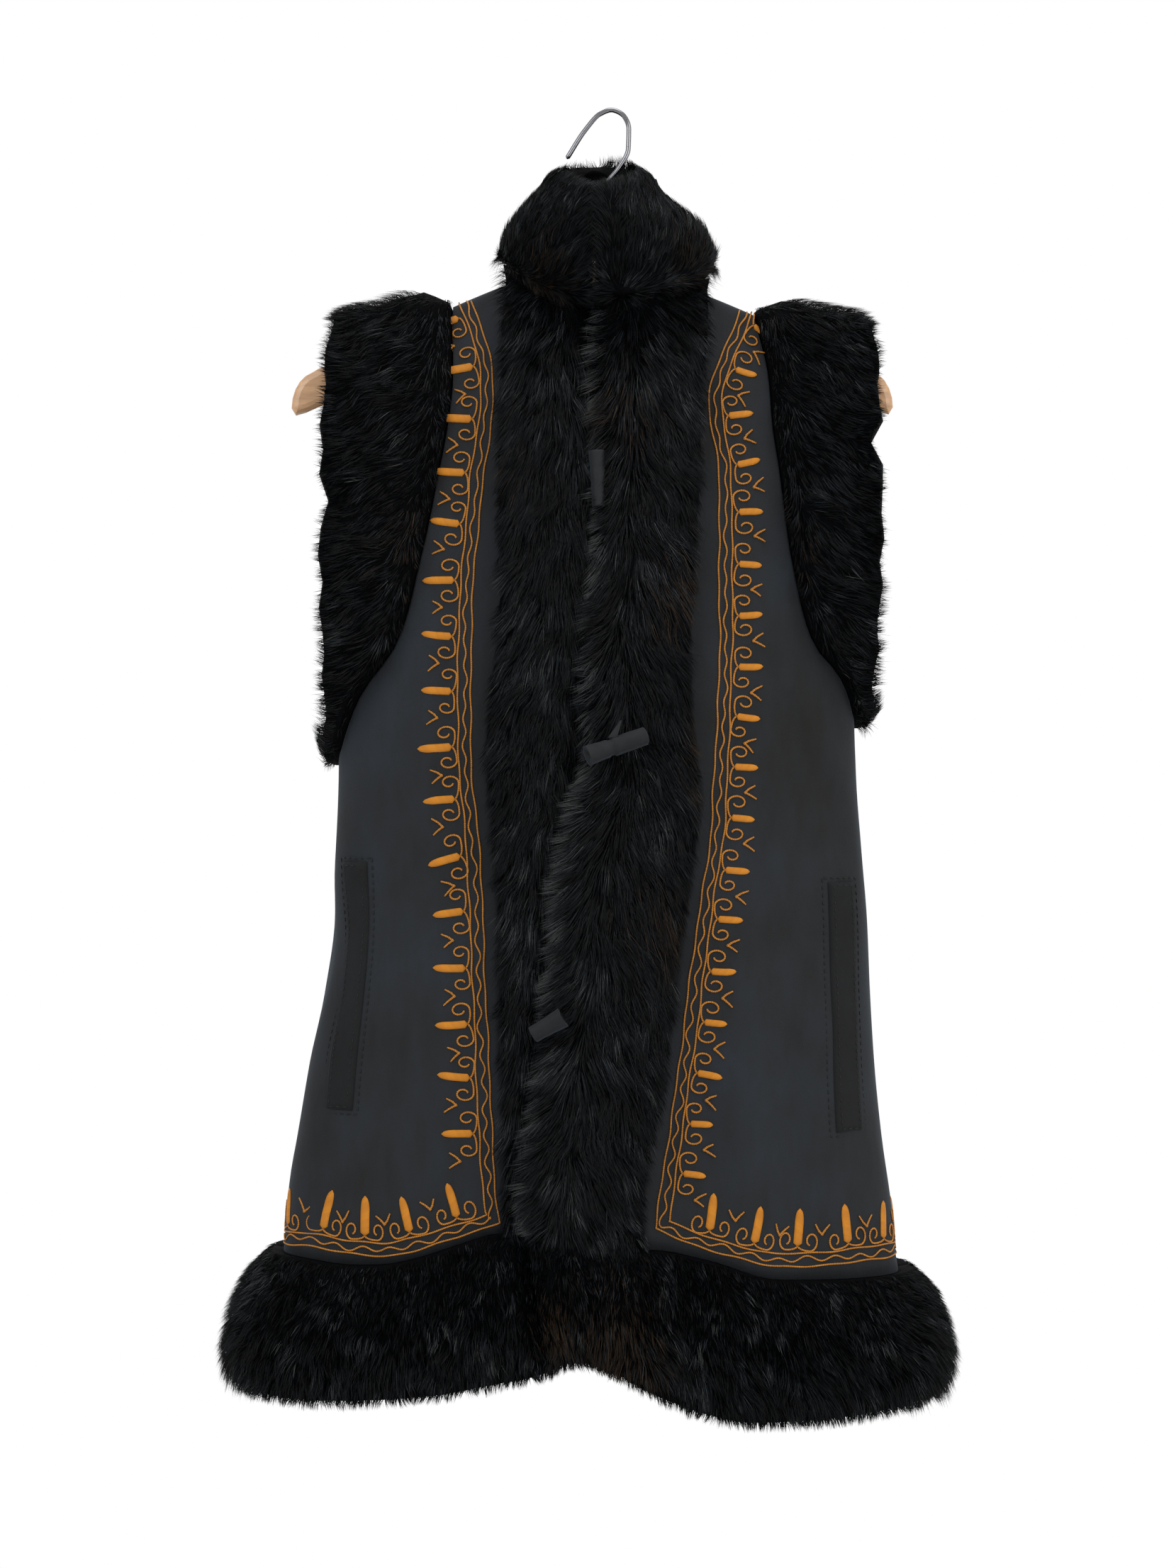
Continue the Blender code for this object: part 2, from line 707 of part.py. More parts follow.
def make_collar():
    """Make the standing fur collar: rings that rise from the neck's seam and lean in, open at the front."""
    right_angle, right_height = (grid[0] for grid in band_grid("right"))
    left_angle, left_height = (grid[0] for grid in band_grid("left"))
    neck = slice(SHOULDER_COLUMNS - 1, SHOULDER_COLUMNS - 1 + NECK_COLUMNS)
    back_angle, back_height = (grid[0, neck] for grid in back_grid())
    angle = np.concatenate([right_angle[:-1], back_angle, 2 * math.pi + left_angle[::-1][1:]])
    height = np.concatenate([right_height[:-1], back_height, left_height[::-1][1:]])
    seam = cloth(angle, height)
    normal = cloth_normal(angle, height)
    reach = np.where(seam[:, 0] > MIDDLE_X, NECK_REACH["right"], NECK_REACH["left"])
    offset = (seam[:, 0] - MIDDLE_X) / reach
    turn = np.arcsin(np.clip(offset, -1, 1))
    behind = np.arange(len(turn)) >= len(right_angle) - 1
    behind &= np.arange(len(turn)) < len(right_angle) - 1 + len(back_angle)
    turn = np.where(behind, math.pi - turn, np.where(turn < 0, turn + 2 * math.pi, turn))
    turn[0] = 0.02
    turn[-1] = 2 * math.pi - 0.02
    sine, cosine = np.sin(turn), np.cos(turn)
    rings = []
    for row in range(len(COLLAR["ring"])):
        ring = row_of(COLLAR, row)
        side_x = np.where(sine > 0, ring["right"], -ring["left"]) * sine
        x = side_x + MIDDLE_X * (1 - np.abs(sine))
        y = -np.where(cosine > 0, ring["front"], ring["back"]) * cosine
        end = np.where(cosine > 0, ring["front_height"], ring["back_height"])
        rings.append(np.stack([x, y, blend(ring["side_height"], end, cosine**2)], axis=-1))
    rings = np.stack(rings)
    corner = bell(np.abs(offset), NECK_CORNER["place"], NECK_CORNER["width"])
    gap = (COLLAR_GAP + NECK_CORNER["room"] * corner)[:, None]
    to_neck = np.array([MIDDLE_X, 0, NECK_LEAN_HEIGHT]) - seam * [1, 1, 0]
    along = to_neck - normal * np.sum(to_neck * normal, axis=-1, keepdims=True)
    hide = np.concatenate([(seam + gap * unit(along))[None], rings])
    outward = unit(np.cross(np.gradient(hide, axis=1), np.gradient(hide, axis=0)))
    share = ease(np.arange(len(hide)) / 1.5)[:, None, None]
    outward = unit(blend(normal[None], outward, share))
    inside = np.concatenate([[HIDE], COLLAR["inside"]])[:, None, None]
    pile = np.concatenate([[COLLAR_SEAM_PILE], COLLAR["pile"]])[:, None] * (1 + 0.1 * lumps(hide))
    ends = np.minimum(np.arange(len(turn)), np.arange(len(turn))[::-1])
    pile = pile * blend(0.55, 1.0, ease(ends / 2.0))
    inner, outer = hide - outward * inside, hide + outward * pile[..., None]
    closed_body("fur_collar", inner, outer, "fur")


def make_trim(side):
    """Make an armhole's fur trim: a short wide sleeve from the armhole's seam out to its rim."""
    panel_angle, panel_height = panel_grid(side)
    back_angle, back_height = back_grid()
    last = len(ROWS_ABOVE)
    column = 0 if side == "right" else -1
    front = (panel_angle[:last, -1], panel_height[:last, -1])
    behind = (back_angle[1 : last - 1, column][::-1], back_height[1 : last - 1, column][::-1])
    if side == "left":
        behind = (behind[0] - 2 * math.pi, behind[1])
    angle = np.concatenate([front[0], behind[0]])
    height = np.concatenate([front[1], behind[1]])
    seam = cloth(angle, height)
    seam[0, 1] = 0.0
    normal = cloth_normal(angle, height)
    normal[last - 1] = (SIGN[side], 0, 0)
    rim = row_of(TRIM_RIM, ROW[side])
    down = np.concatenate([ROWS_ABOVE, ROWS_ABOVE[1:-1][::-1]])
    swing = np.arccos(1 - 2 * down)
    facing = np.concatenate([-np.ones(last), np.ones(last - 2)])
    bulge = np.sin(swing)
    x = blend(blend(rim["x_top"], rim["x_low"], down), rim["x_mid"], bulge)
    y = facing * rim["deep"] * bulge**0.8
    rim_points = np.stack([x, y, blend(rim["top"], rim["low"], down)], axis=-1)
    outward_way = unit(rim_points - seam)
    flat_way = unit(outward_way - normal * np.sum(outward_way * normal, axis=-1, keepdims=True))
    corner = bell(down, TRIM_CORNER["place"], TRIM_CORNER["width"]) * (facing > 0)
    start = seam + (TRIM_GAP + TRIM_CORNER["room"] * corner)[:, None] * flat_way
    hide = blend(start[None], rim_points[None], TRIM_ROWS[:, None, None])
    looped = np.concatenate([hide[:, -1:], hide, hide[:, :1]], axis=1)
    around = looped[:, 2:] - looped[:, :-2]
    outward = unit(np.cross(np.gradient(hide, axis=0), around))
    heart = np.array([SIGN[side] * 0.68 * abs(rim["x_mid"]), 0, blend(rim["top"], rim["low"], 0.5)])
    facing_out = np.sign(np.sum(outward[3] * (hide[3] - heart), axis=-1))
    outward = outward * facing_out[None, :, None]
    outward = unit(blend(normal[None], outward, ease(TRIM_ROWS / 0.3)[:, None, None]))
    notch = 1 - 0.35 * bell(hide[..., 2], TRIM_NOTCH[side], 9.0)
    narrow = blend(0.62, 1.0, ease((1 - down) / 0.25))[None, :]
    full = TRIM_PILE * read(TRIM_PROFILE, "share", TRIM_ROWS)[:, None] * (1 + 0.12 * lumps(hide))
    pile = np.maximum(full * notch * narrow, LEAST_PILE)[..., None]
    closed_body(f"fur_armhole_{side}", hide - outward * HIDE, hide + outward * pile, "fur", ring=True)


def make_welt(side):
    """Make a pocket's welt: a narrow strip that lies on the suede."""
    welt = row_of(WELTS, ROW[side])
    down = np.linspace(0, 1, 9)[:, None]
    across = np.linspace(0, 1, 5)[None, :]
    inner = np.radians(blend(welt["in_top"], welt["in_low"], down))
    outer = np.radians(blend(welt["out_top"], welt["out_low"], down))
    angle = blend(inner, outer, across)
    height = blend(welt["top"], welt["low"], down) + 0 * angle
    low, high = layers(angle, height, -WELT_GAP, WELT_GAP + WELT_THICKNESS, side == "right")
    closed_body(f"pocket_welt_{side}", low, high, "welt")


def make_toggle(row):
    """Make a toggle: a roll of suede, thick at one end, lying in the pressed fur."""
    toggle = row_of(TOGGLES, row)
    along = np.linspace(0, 1, 7)
    height = blend(toggle["thick_height"], toggle["thin_height"], along)
    angle = angle_at(blend(toggle["x_thick"], toggle["x_thin"], along), height)
    fur = np.max(np.maximum(band_pile("left", angle, height), band_pile("right", angle, height)))
    out = (fur + 0.5 * blend(toggle["thick"], toggle["thin"], along) + toggle["clear"])[:, None]
    axis = cloth(angle, height, True) + cloth_normal(angle, height, True) * out
    start, end = axis[0], axis[-1]
    length = float(np.linalg.norm(end - start))
    mesh = bpy.data.meshes.new("toggle")
    body = bmesh.new()
    bmesh.ops.create_cone(
        body,
        cap_ends=True,
        segments=14,
        radius1=0.5 * toggle["thick"] * MM,
        radius2=0.5 * toggle["thin"] * MM,
        depth=length * MM,
    )
    body.to_mesh(mesh)
    body.free()
    made = finish_body(f"toggle_{int(toggle['number'])}", mesh, "leather")
    way = unit(end - start)
    level = math.hypot(way[0], way[1])
    made.rotation_euler = (0, math.atan2(level, way[2]), math.atan2(way[1], way[0]))
    made.location = 0.5 * (start + end) * MM


def wood_top(x):
    """Return the height of the hanger's top: just under the cloth, and a little lower under the collar."""
    past = np.abs(x - MIDDLE_X) - WOOD_SINK["reach"]
    lower = WOOD_SINK["deep"] * (1 - ease(past / WOOD_SINK["length"]))
    return shoulder(x) - (SUEDE + SEAM_GAP) * math.hypot(1.0, SHOULDER_FALL) - lower


def make_hanger():
    """Make the hanger's wooden bar from its outline, and its wire hook."""
    half = WOOD_THICKNESS / 2
    left, right = WOOD_END["left"], WOOD_END["right"]
    top_x = np.linspace(right - WOOD_END_LENGTH, left + WOOD_END_LENGTH, 25)
    top = [(x, wood_top(x)) for x in top_x]
    low = [(x, wood_top(x) - WOOD_HEIGHT) for x in top_x[::-1]]
    outline = top + wood_end(left, -1) + low + wood_end(right, 1)[::-1]
    curve = bpy.data.curves.new("hanger_bar", "CURVE")
    curve.dimensions = "2D"
    curve.fill_mode = "BOTH"
    curve.extrude = (half - WOOD_ROUNDING) * MM
    curve.bevel_depth = WOOD_ROUNDING * MM
    curve.offset = -WOOD_ROUNDING * MM
    curve.bevel_resolution = 2
    spline = curve.splines.new("POLY")
    spline.points.add(len(outline) - 1)
    for point, (x, z) in zip(spline.points, outline):
        point.co = (x * MM, z * MM, 0, 1)
    spline.use_cyclic_u = True
    bar = bpy.data.objects.new("hanger_bar", curve)
    bar.rotation_euler = (math.pi / 2, 0, 0)
    curve.materials.append(material("wood"))
    bpy.data.collections["folk_vest"].objects.link(bar)
    wire = bpy.data.curves.new("hanger_hook", "CURVE")
    wire.dimensions = "3D"
    wire.bevel_depth = WIRE / 2 * MM
    wire.bevel_resolution = 2
    wire.use_fill_caps = True
    steps = np.linspace(0, HOOK["point"][-1], 45)
    line = wire.splines.new("POLY")
    line.points.add(len(steps))
    foot = wood_top(MIDDLE_X) + SEAM_GAP
    x = np.append(read(HOOK, "x", steps), MIDDLE_X)
    z = np.append(read(HOOK, "height", steps), foot)
    for point, across, up in zip(line.points, x, z):
        point.co = (across * MM, 0, up * MM, 1)
    hook = bpy.data.objects.new("hanger_hook", wire)
    wire.materials.append(material("chrome"))
    bpy.data.collections["folk_vest"].objects.link(hook)


def wood_end(tip, sign):
    """Return the outline round one end of the bar: a quarter turn over the top, then a drooped lower lip."""
    start = tip - sign * WOOD_END_LENGTH
    top = wood_top(start)
    points = []
    for turn in np.linspace(0.15, 1.0, 6) * math.pi / 2:
        x = start + sign * WOOD_END_LENGTH * math.sin(turn)
        points.append((x, top - WOOD_DROP * (1 - math.cos(turn)) - 2.0))
    for back, down in zip(WOOD_LIP["back"], WOOD_LIP["down"]):
        points.append((tip - sign * back, top - down))
    return points


def main():
    for old in list(bpy.data.objects):
        bpy.data.objects.remove(old)
    vest = bpy.data.collections.new("folk_vest")
    bpy.context.scene.collection.children.link(vest)
    make_back()
    for side in ("left", "right"):
        make_front(side)
        make_trim(side)
        make_welt(side)
    make_collar()
    for row in range(len(TOGGLES["number"])):
        make_toggle(row)
    make_hanger()


main()
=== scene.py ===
"""The looks of a fur-trimmed suede folk vest that hangs on a wooden coat hanger.

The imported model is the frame. Each soft node is replaced by a finer piece on the same form: suede shells with
nap, hides with combed hair, sewn borders of thread, pocket welts and rolled toggles. Sizes are in millimetres
and become metres when a mesh is made. The viewer's right is +X and the fronts face -Y.
"""

import logging
import math
from dataclasses import dataclass, field
from enum import Enum

import bpy
import numpy as np
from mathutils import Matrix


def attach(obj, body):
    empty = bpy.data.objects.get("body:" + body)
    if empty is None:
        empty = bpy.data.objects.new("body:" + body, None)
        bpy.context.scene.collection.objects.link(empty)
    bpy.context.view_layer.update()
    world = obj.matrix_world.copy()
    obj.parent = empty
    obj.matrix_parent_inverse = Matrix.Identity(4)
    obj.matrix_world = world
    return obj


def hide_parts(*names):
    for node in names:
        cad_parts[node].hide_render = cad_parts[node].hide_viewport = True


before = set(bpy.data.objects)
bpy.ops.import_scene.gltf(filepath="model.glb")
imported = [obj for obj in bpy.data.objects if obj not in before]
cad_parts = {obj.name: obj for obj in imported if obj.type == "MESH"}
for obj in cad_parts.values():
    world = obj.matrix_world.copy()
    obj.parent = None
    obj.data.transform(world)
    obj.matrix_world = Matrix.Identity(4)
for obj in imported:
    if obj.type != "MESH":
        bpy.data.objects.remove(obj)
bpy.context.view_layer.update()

LOG = logging.getLogger("folk_vest")
Array = np.ndarray
Table = dict[str, np.ndarray]
Colour = tuple[float, float, float]
Names = tuple[str, ...]
Ways = tuple[np.ndarray, np.ndarray, np.ndarray]
Chance = np.random.Generator
Material = bpy.types.Material
Socket = bpy.types.NodeSocket
Tree = bpy.types.NodeTree

# Metres in a millimetre, the gaps between pieces, and how thick the leather is
MM = 0.001
SEAM_GAP = 0.35
PILE_GAP = 0.5
TRIM_GAP = 1.2
COLLAR_GAP = 1.2
SUEDE = 3.0
HIDE = 3.0

# The hanger's middle, the fall of the shoulder line away from it, and how square the fronts turn the sides
MIDDLE_X = -4.0
SHOULDER_TOP = -92.0
SHOULDER_FALL = 0.42
SIDE_TURN = 0.55

# Where the armholes end below, and the sides' names and signs
UNDERARM = {"left": -458.0, "right": -432.0}
SIDES = ("left", "right")
SIGN = {"left": -1.0, "right": 1.0}

# The height of the neck's front, and how far its back lies below the shoulder line
NECK_FRONT_Z = -145.0
NECK_BACK_DROP = 18.0

# The right front lies over the left one, is lifted by the fur pressed under it, and covers its edge
OVERLAP_LIFT = 10.0
PRESSED_PILE = 6.0
LIFT_FADE = 42.0
COVERED = 2.0

# How high the fur stands off its hide
BAND_PILE = 18.0
HEM_PILE = 27.0
TRIM_PILE = 16.0


def columns(names: str, *rows: tuple[float, ...]) -> Table:
    """Return a table as arrays by column name.

    Args:
        names: the columns' names. The first is the one that the table is read at.
        rows: one tuple of numbers for each row.

    Returns:
        The columns by name.
    """
    return dict(zip(names.split(), np.array(rows, float).T))


# The cloth's outer half widths from x = 0
BODY = columns(
    "height left right",
    (-930, 243, 227), (-890, 241, 224), (-850, 235, 219), (-800, 222, 208), (-766, 219, 205),
    (-716, 210, 198), (-666, 202, 193), (-616, 193, 190), (-566, 186, 188), (-516, 184, 184),
    (-460, 183, 180), (-420, 184, 179), (-300, 186, 182), (-100, 186, 182),
)

# How deep the cloth is before and behind the hanger, by the drop below the shoulder line
DEPTH = columns(
    "drop front back",
    (0, 0, 0), (1, 5.6, 5.6), (3, 8.8, 8.8), (6, 11.0, 11.0), (12, 13.5, 13.0), (24, 19, 17), (45, 28, 24),
    (80, 38, 33), (130, 47, 42), (200, 54, 49), (300, 60, 55), (400, 64, 60), (500, 68, 64), (600, 72, 69),
    (700, 77, 74), (820, 84, 80),
)

# Where suede meets the fur of the fronts
FUR_SEAM = columns(
    "height left right",
    (-800, -66, 30), (-740, -64, 25), (-703, -64, 33), (-660, -66, 42), (-573, -67, 54), (-500, -71, 65),
    (-480, -73, 68), (-450, -76, 63), (-385, -70, 60), (-308, -66, 65), (-269, -69, 67), (-200, -68, 70),
    (-150, -66, 74), (-116, -62, 72),
)

# The free edge of the right front, and how far the left one runs on under it
FRONT_EDGE = columns(
    "height edge overlap",
    (-900, -30, 44), (-840, -38, 46), (-790, -46, 50), (-745, -49, 50), (-705, -44, 50), (-655, -37, 42),
    (-605, -31, 33), (-550, -27, 25), (-510, -22, 17), (-472, -12, -0.5), (-440, -9, -0.5),
    (-380, -7, -0.5), (-264, -1, -0.5), (-190, -4, -0.5), (-100, -4, -0.5),
)

# Where suede meets the fur of the armholes, above the underarm
ARMHOLE = {}
ARMHOLE["left"] = columns(
    "height x",
    (-458, -183), (-440, -178), (-412, -167), (-395, -156), (-382, -145), (-357, -134), (-328, -127),
    (-290, -118), (-258, -112), (-226, -106), (-188, -102), (-133, -103),
)
ARMHOLE["right"] = columns(
    "height x",
    (-432, 179), (-412, 174), (-395, 166), (-386, 158), (-376, 149), (-352, 141), (-330, 136), (-304, 131),
    (-272, 127), (-248, 124), (-220, 120), (-188, 118), (-139, 108),
)

# The lower edge of the suede and the lowest reach of the hem's fur, before and behind
HEM = columns(
    "x front back",
    (-222, -796, -796), (-209, -797, -797), (-170, -800, -799), (-149, -799, -800), (-129, -795, -801),
    (-98, -785, -802), (-67, -776, -802), (-50, -776, -802), (20, -787, -803), (33, -787, -803),
    (74, -795, -805), (122, -809, -807), (172, -810, -809), (208, -810, -810),
)
FUR_REACH = columns(
    "x front back",
    (-240, -897, -897), (-180, -899, -897), (-142, -897, -897), (-99, -892, -896), (-61, -882, -894),
    (-27, -867, -893), (2, -873, -893), (26, -885, -893), (54, -900, -894), (97, -911, -896),
    (121, -911, -897), (196, -905, -898), (224, -895, -895),
)

# How thick the hem's fur is, as a share of its pile, from its seam down to its tips
HEM_PROFILE = columns(
    "down share",
    (0, 0.4), (0.12, 0.74), (0.32, 0.95), (0.6, 1), (0.8, 0.8), (0.93, 0.42), (1, 0.08),
)

# How full the front bands' pile is, as a share, by the height
BAND_BOTTOM = columns("height share", (-800, 0.5), (-762, 0.55), (-745, 1.0), (-100, 1.0))

# How thick an armhole trim is, as a share of its pile, from its seam out to its rim
TRIM_SWELL = columns("share pile", (0, 0.3), (0.12, 0.75), (0.34, 1), (0.62, 1), (0.86, 0.85), (1, 0.5))

# Soft folds: a ridge is positive and a trough negative, and each fades toward its ends
FOLDS = columns(
    "face x_top top x_bottom bottom width size",
    (1, -136, -375, -178, -560, 16, 5.0), (1, -180, -610, -206, -760, 15, 4.5),
    (1, -168, -470, -196, -790, 13, -2.5), (1, 138, -350, 160, -470, 14, 4.0),
    (1, 96, -520, 100, -790, 17, 3.0), (1, 150, -560, 160, -800, 18, 3.5),
    (1, -120, -560, -130, -800, 22, 3.0), (-1, -60, -330, -90, -800, 20, 4.5),
    (-1, 40, -380, 55, -800, 24, -4.0), (-1, 120, -420, 140, -800, 20, 4.5),
    (-1, -150, -460, -170, -800, 18, 3.5),
)

# The collar's hide: a row for each ring, with its reach to the four sides and its height there
COLLAR = columns(
    "ring left right front back front_height side_height back_height inside pile",
    (1, -58, 70, 43, 30, -126, -106, -95, 3.5, 13), (2, -54, 62, 47, 38, -106, -88, -72, 5, 14),
    (3, -45, 46, 45, 42, -86, -71, -50, 6, 13), (4, -32, 32, 37, 42, -71, -57, -36, 6, 11),
    (5, -25, 24, 30, 40, -65, -48, -29, 4, 7),
)

# The armhole trims' rims, as upright ovals out at the sides
TRIM_RIM = {
    "left": {"x_top": -184.0, "x_mid": -191.0, "x_low": -186.0, "top": -150.0, "low": -438.0, "deep": 58.0},
    "right": {"x_top": 190.0, "x_mid": 193.0, "x_low": 184.0, "top": -154.0, "low": -414.0, "deep": 57.0},
}

# The toggles, each from its thick end to its thin one, and how far they stand clear of the fur
TOGGLES = columns(
    "number x_thick thick_height x_thin thin_height thick thin clear",
    (1, -2, -243, -1, -281, 12, 9, 1.0), (2, -8, -452, 24, -438, 16, 13, 5.9),
    (3, -44, -640, -24, -628, 12, 15, 1.0),
)

# Pocket welts by their angle at the four corners, and their heights
WELTS = {
    "left": {"top": -524.0, "low": -695.0, "in_top": -60, "out_top": -72, "in_low": -55.5, "out_low": -66},
    "right": {"top": -538.0, "low": -710.0, "in_top": 58, "out_top": 71, "in_low": 55, "out_low": 67},
}
WELT_THICKNESS = 1.4
WELT_GAP = 0.9

# The hanger's wire: its thickness, and its centre line from the tip over the top to the wood
WIRE = 3.5
HOOK = columns(
    "point x height",
    (0, -23, -29.0), (1, -10.5, -9.5), (2, 0.5, 2.6), (3, 8.5, 5.4), (4, 16.5, 2.0), (5, 20.8, -8),
    (6, 20.4, -22), (7, 13.5, -36), (8, 5.5, -46), (9, -0.5, -57), (10, -3.5, -68), (11, -4, -80),
)

# The height of the notch in each armhole trim
TRIM_NOTCH = {"left": -272.0, "right": -238.0}

# The solids' rows, as shares of the way down to the underarm, on to the hem and down the hem's fur
ROWS_ABOVE = np.array(
    [0, 0.004, 0.017, 0.042, 0.085, 0.146, 0.25, 0.37, 0.5, 0.63, 0.75, 0.854, 0.933, 0.972, 0.993, 1]
)
ROWS_BELOW = np.linspace(0, 1, 13)
HEM_ROWS = np.array([0, 0.1, 0.24, 0.42, 0.6, 0.78, 0.92, 1.0])

# The solids' columns: across a front, behind the neck, on a shoulder, and the left band's hidden ones
FRONT_COLUMNS = 25
NECK_COLUMNS = 25
SHOULDER_COLUMNS = 8
HIDDEN_COLUMNS = 5
SIDE_SEAM_ANGLE = (SEAM_GAP * 0.6 / 75.0) ** (1 / SIDE_TURN)


def read(table: Table, column: str, at: Array | float) -> Array:
    """Read a table's column by a curve that passes its rows and never overshoots.

    Args:
        table: the table.
        column: the column to read.
        at: values of the table's first column.

    Returns:
        The column's values there. Each stretch is a cubic whose slopes are the rows' harmonic means.
    """
    keys = table[next(iter(table))]
    values = table[column]
    if keys[0] > keys[-1]:
        keys, values = keys[::-1], values[::-1]
    step = np.diff(keys)
    slope = np.diff(values) / step
    before, after = slope[:-1], slope[1:]
    same_way = before * after > 0
    total = np.where(same_way, before + after, 1.0)
    slopes = np.concatenate([slope[:1], np.where(same_way, 2 * before * after / total, 0.0), slope[-1:]])
    at = np.clip(np.asarray(at, float), keys[0], keys[-1])
    row = np.clip(np.searchsorted(keys, at) - 1, 0, len(step) - 1)
    part = (at - keys[row]) / step[row]
    rest = 1 - part
    start = rest**2 * ((1 + 2 * part) * values[row] + part * step[row] * slopes[row])
    end = part**2 * ((1 + 2 * rest) * values[row + 1] - rest * step[row] * slopes[row + 1])
    return start + end


def ease(value: Array | float) -> Array:
    """Go from 0 to 1 as the value does, starting and ending level."""
    value = np.clip(value, 0.0, 1.0)
    return value**2 * (3 - 2 * value)


def blend(start: Array | float, end: Array | float, share: Array | float) -> Array:
    """Return what lies between start and end at a share of the way."""
    return start + (end - start) * share


def unit(vectors: Array) -> Array:
    """Return the vectors at length 1."""
    return vectors / np.maximum(np.linalg.norm(vectors, axis=-1, keepdims=True), 1e-9)


def bell(value: Array | float, middle: Array | float, width: Array | float) -> Array:
    """Return a bell, 1 at the middle and e to the minus one at a width from it."""
    return np.exp(-(((value - middle) / width) ** 2))


def flattened(vectors: Array, normal: Array) -> Array:
    """Return the vectors without their part along the normal."""
    return vectors - normal * np.sum(vectors * normal, axis=-1, keepdims=True)


def row_of(table: Table, row: int) -> dict[str, float]:
    """Return one row of a table by its columns' names."""
    return {name: column[row] for name, column in table.items()}


def finer(values: Array, times: int) -> Array:
    """Return a row of values with each of its steps split into several equal ones."""
    last = len(values) - 1
    return np.interp(np.linspace(0, last, last * times + 1), np.arange(last + 1), values)


def shoulder(x: Array | float) -> Array:
    """Return the height of the shoulder line, the cloth's top, at x."""
    return SHOULDER_TOP - SHOULDER_FALL * np.sqrt((x - MIDDLE_X) ** 2 + 36.0)


def hidden_edge(height: Array) -> Array:
    """Return where the left front ends under the right one."""
    return read(FRONT_EDGE, "edge", height) + read(FRONT_EDGE, "overlap", height)


def half_width(angle: Array, height: Array) -> Array:
    """Return the cloth's half width on the angle's side."""
    return np.where(np.sin(angle) < 0, read(BODY, "left", height), read(BODY, "right", height))


def x_at(angle: Array, height: Array) -> Array:
    """Return the cloth's x at an angle, before its folds."""
    return half_width(angle, height) * np.sin(angle)


def angle_at(x: Array, height: Array) -> Array:
    """Return the angle on the front at which the cloth is at x."""
    side = np.where(np.asarray(x) < 0, -1.0, 1.0)
    return np.arcsin(np.clip(x / half_width(side, height), -1.0, 1.0))


def fold_push(x: Array, height: Array, face: Array, folds: Table) -> Array:
    """Add up the folds' push outward.

    Args:
        x: places across.
        height: places up.
        face: 1 on the front and -1 on the back.
        folds: the table of folds.

    Returns:
        The push in millimetres. Each fold is a bell across its line and fades toward both ends.
    """
    push = np.zeros(np.shape(x))
    for row in range(len(folds["face"])):
        fold = row_of(folds, row)
        along = (fold["top"] - height) / (fold["top"] - fold["bottom"])
        middle = blend(fold["x_top"], fold["x_bottom"], along)
        fade = ease(along / 0.35) * ease((1.15 - along) / 0.35)
        across = bell(x, middle, fold["width"])
        push += np.where(face == fold["face"], fold["size"] * fade * across, 0.0)
    return push


def cloth(angle: Array, height: Array, over: bool = False) -> Array:
    """Return points on the cloth's outer face.

    Args:
        angle: 0 at the middle of the front, positive toward +X, half a turn at the middle of the back.
        height: the points' height.
        over: whether the points are the right front's, which the left one lifts.

    Returns:
        The points. Across, one is the half width times the angle's sine. Its depth is read from the drop
        below the shoulder line and squared off at the sides by a power of the cosine. Folds push it outward.
    """
    sine, cosine = np.sin(angle), np.cos(angle)
    width = half_width(angle, height)
    x = width * sine
    drop = np.maximum(shoulder(x) - height, 0.0)
    depth = np.where(cosine > 0, read(DEPTH, "front", drop), read(DEPTH, "back", drop))
    y = -np.sign(cosine) * np.maximum(depth, SEAM_GAP / 2) * np.abs(cosine) ** SIDE_TURN
    outward = unit(
        np.stack([depth * SIDE_TURN * sine, -width * cosine * np.abs(cosine) ** (1 - SIDE_TURN)], axis=-1)
    )
    push = fold_push(x, height, np.sign(cosine), FOLDS) * ease(np.abs(cosine) / 0.12)
    if over:
        past = (x - hidden_edge(height) - 4.0) / LIFT_FADE
        push = push + OVERLAP_LIFT * ease((-330.0 - height) / 125.0) * (1 - ease(past)) * (cosine > 0)
    return np.stack([x + outward[..., 0] * push, y + outward[..., 1] * push, height + 0 * x], axis=-1)


def cloth_normal(angle: Array, height: Array, over: bool = False) -> Array:
    """Return the cloth's outward normals.

    Args:
        angle: the points' angles, as for cloth.
        height: the points' heights.
        over: whether they are the right front's.

    Returns:
        The normals, from small steps each way. Near the shoulder line they turn to stand square on it.
    """
    turn, rise = 0.006, 0.4
    across = cloth(angle + turn, height, over) - cloth(angle - turn, height, over)
    low = cloth(angle, height - rise, over)
    high = cloth(angle, height + rise, over)
    normal = unit(np.cross(across, high - low))
    x = x_at(angle, height)
    slope = shoulder(x + 0.5) - shoulder(x - 0.5)
    ridge = unit(np.stack([-slope, 0 * x, 1 + 0 * x], axis=-1))
    share = ease((shoulder(x) - height) / 2.2)[..., None]
    return unit(blend(ridge, normal, share))


def on_cloth(angle: Array, height: Array, over: bool = False) -> tuple[Array, Array]:
    """Return points on the cloth and the normals there."""
    return cloth(angle, height, over), cloth_normal(angle, height, over)


def lumps(points: Array) -> Array:
    """Return a fur surface's uneven lumps, from -1 to 1, as products and sums of sines of the place."""
    x, y, z = points[..., 0], points[..., 1], points[..., 2]
    first = np.sin(x / 13 + z / 21 + 1.7) * np.sin(z / 17 - y / 15)
    second = np.sin(x / 8.0 - z / 12.5 + y / 9.0)
    return 0.6 * first + 0.4 * second


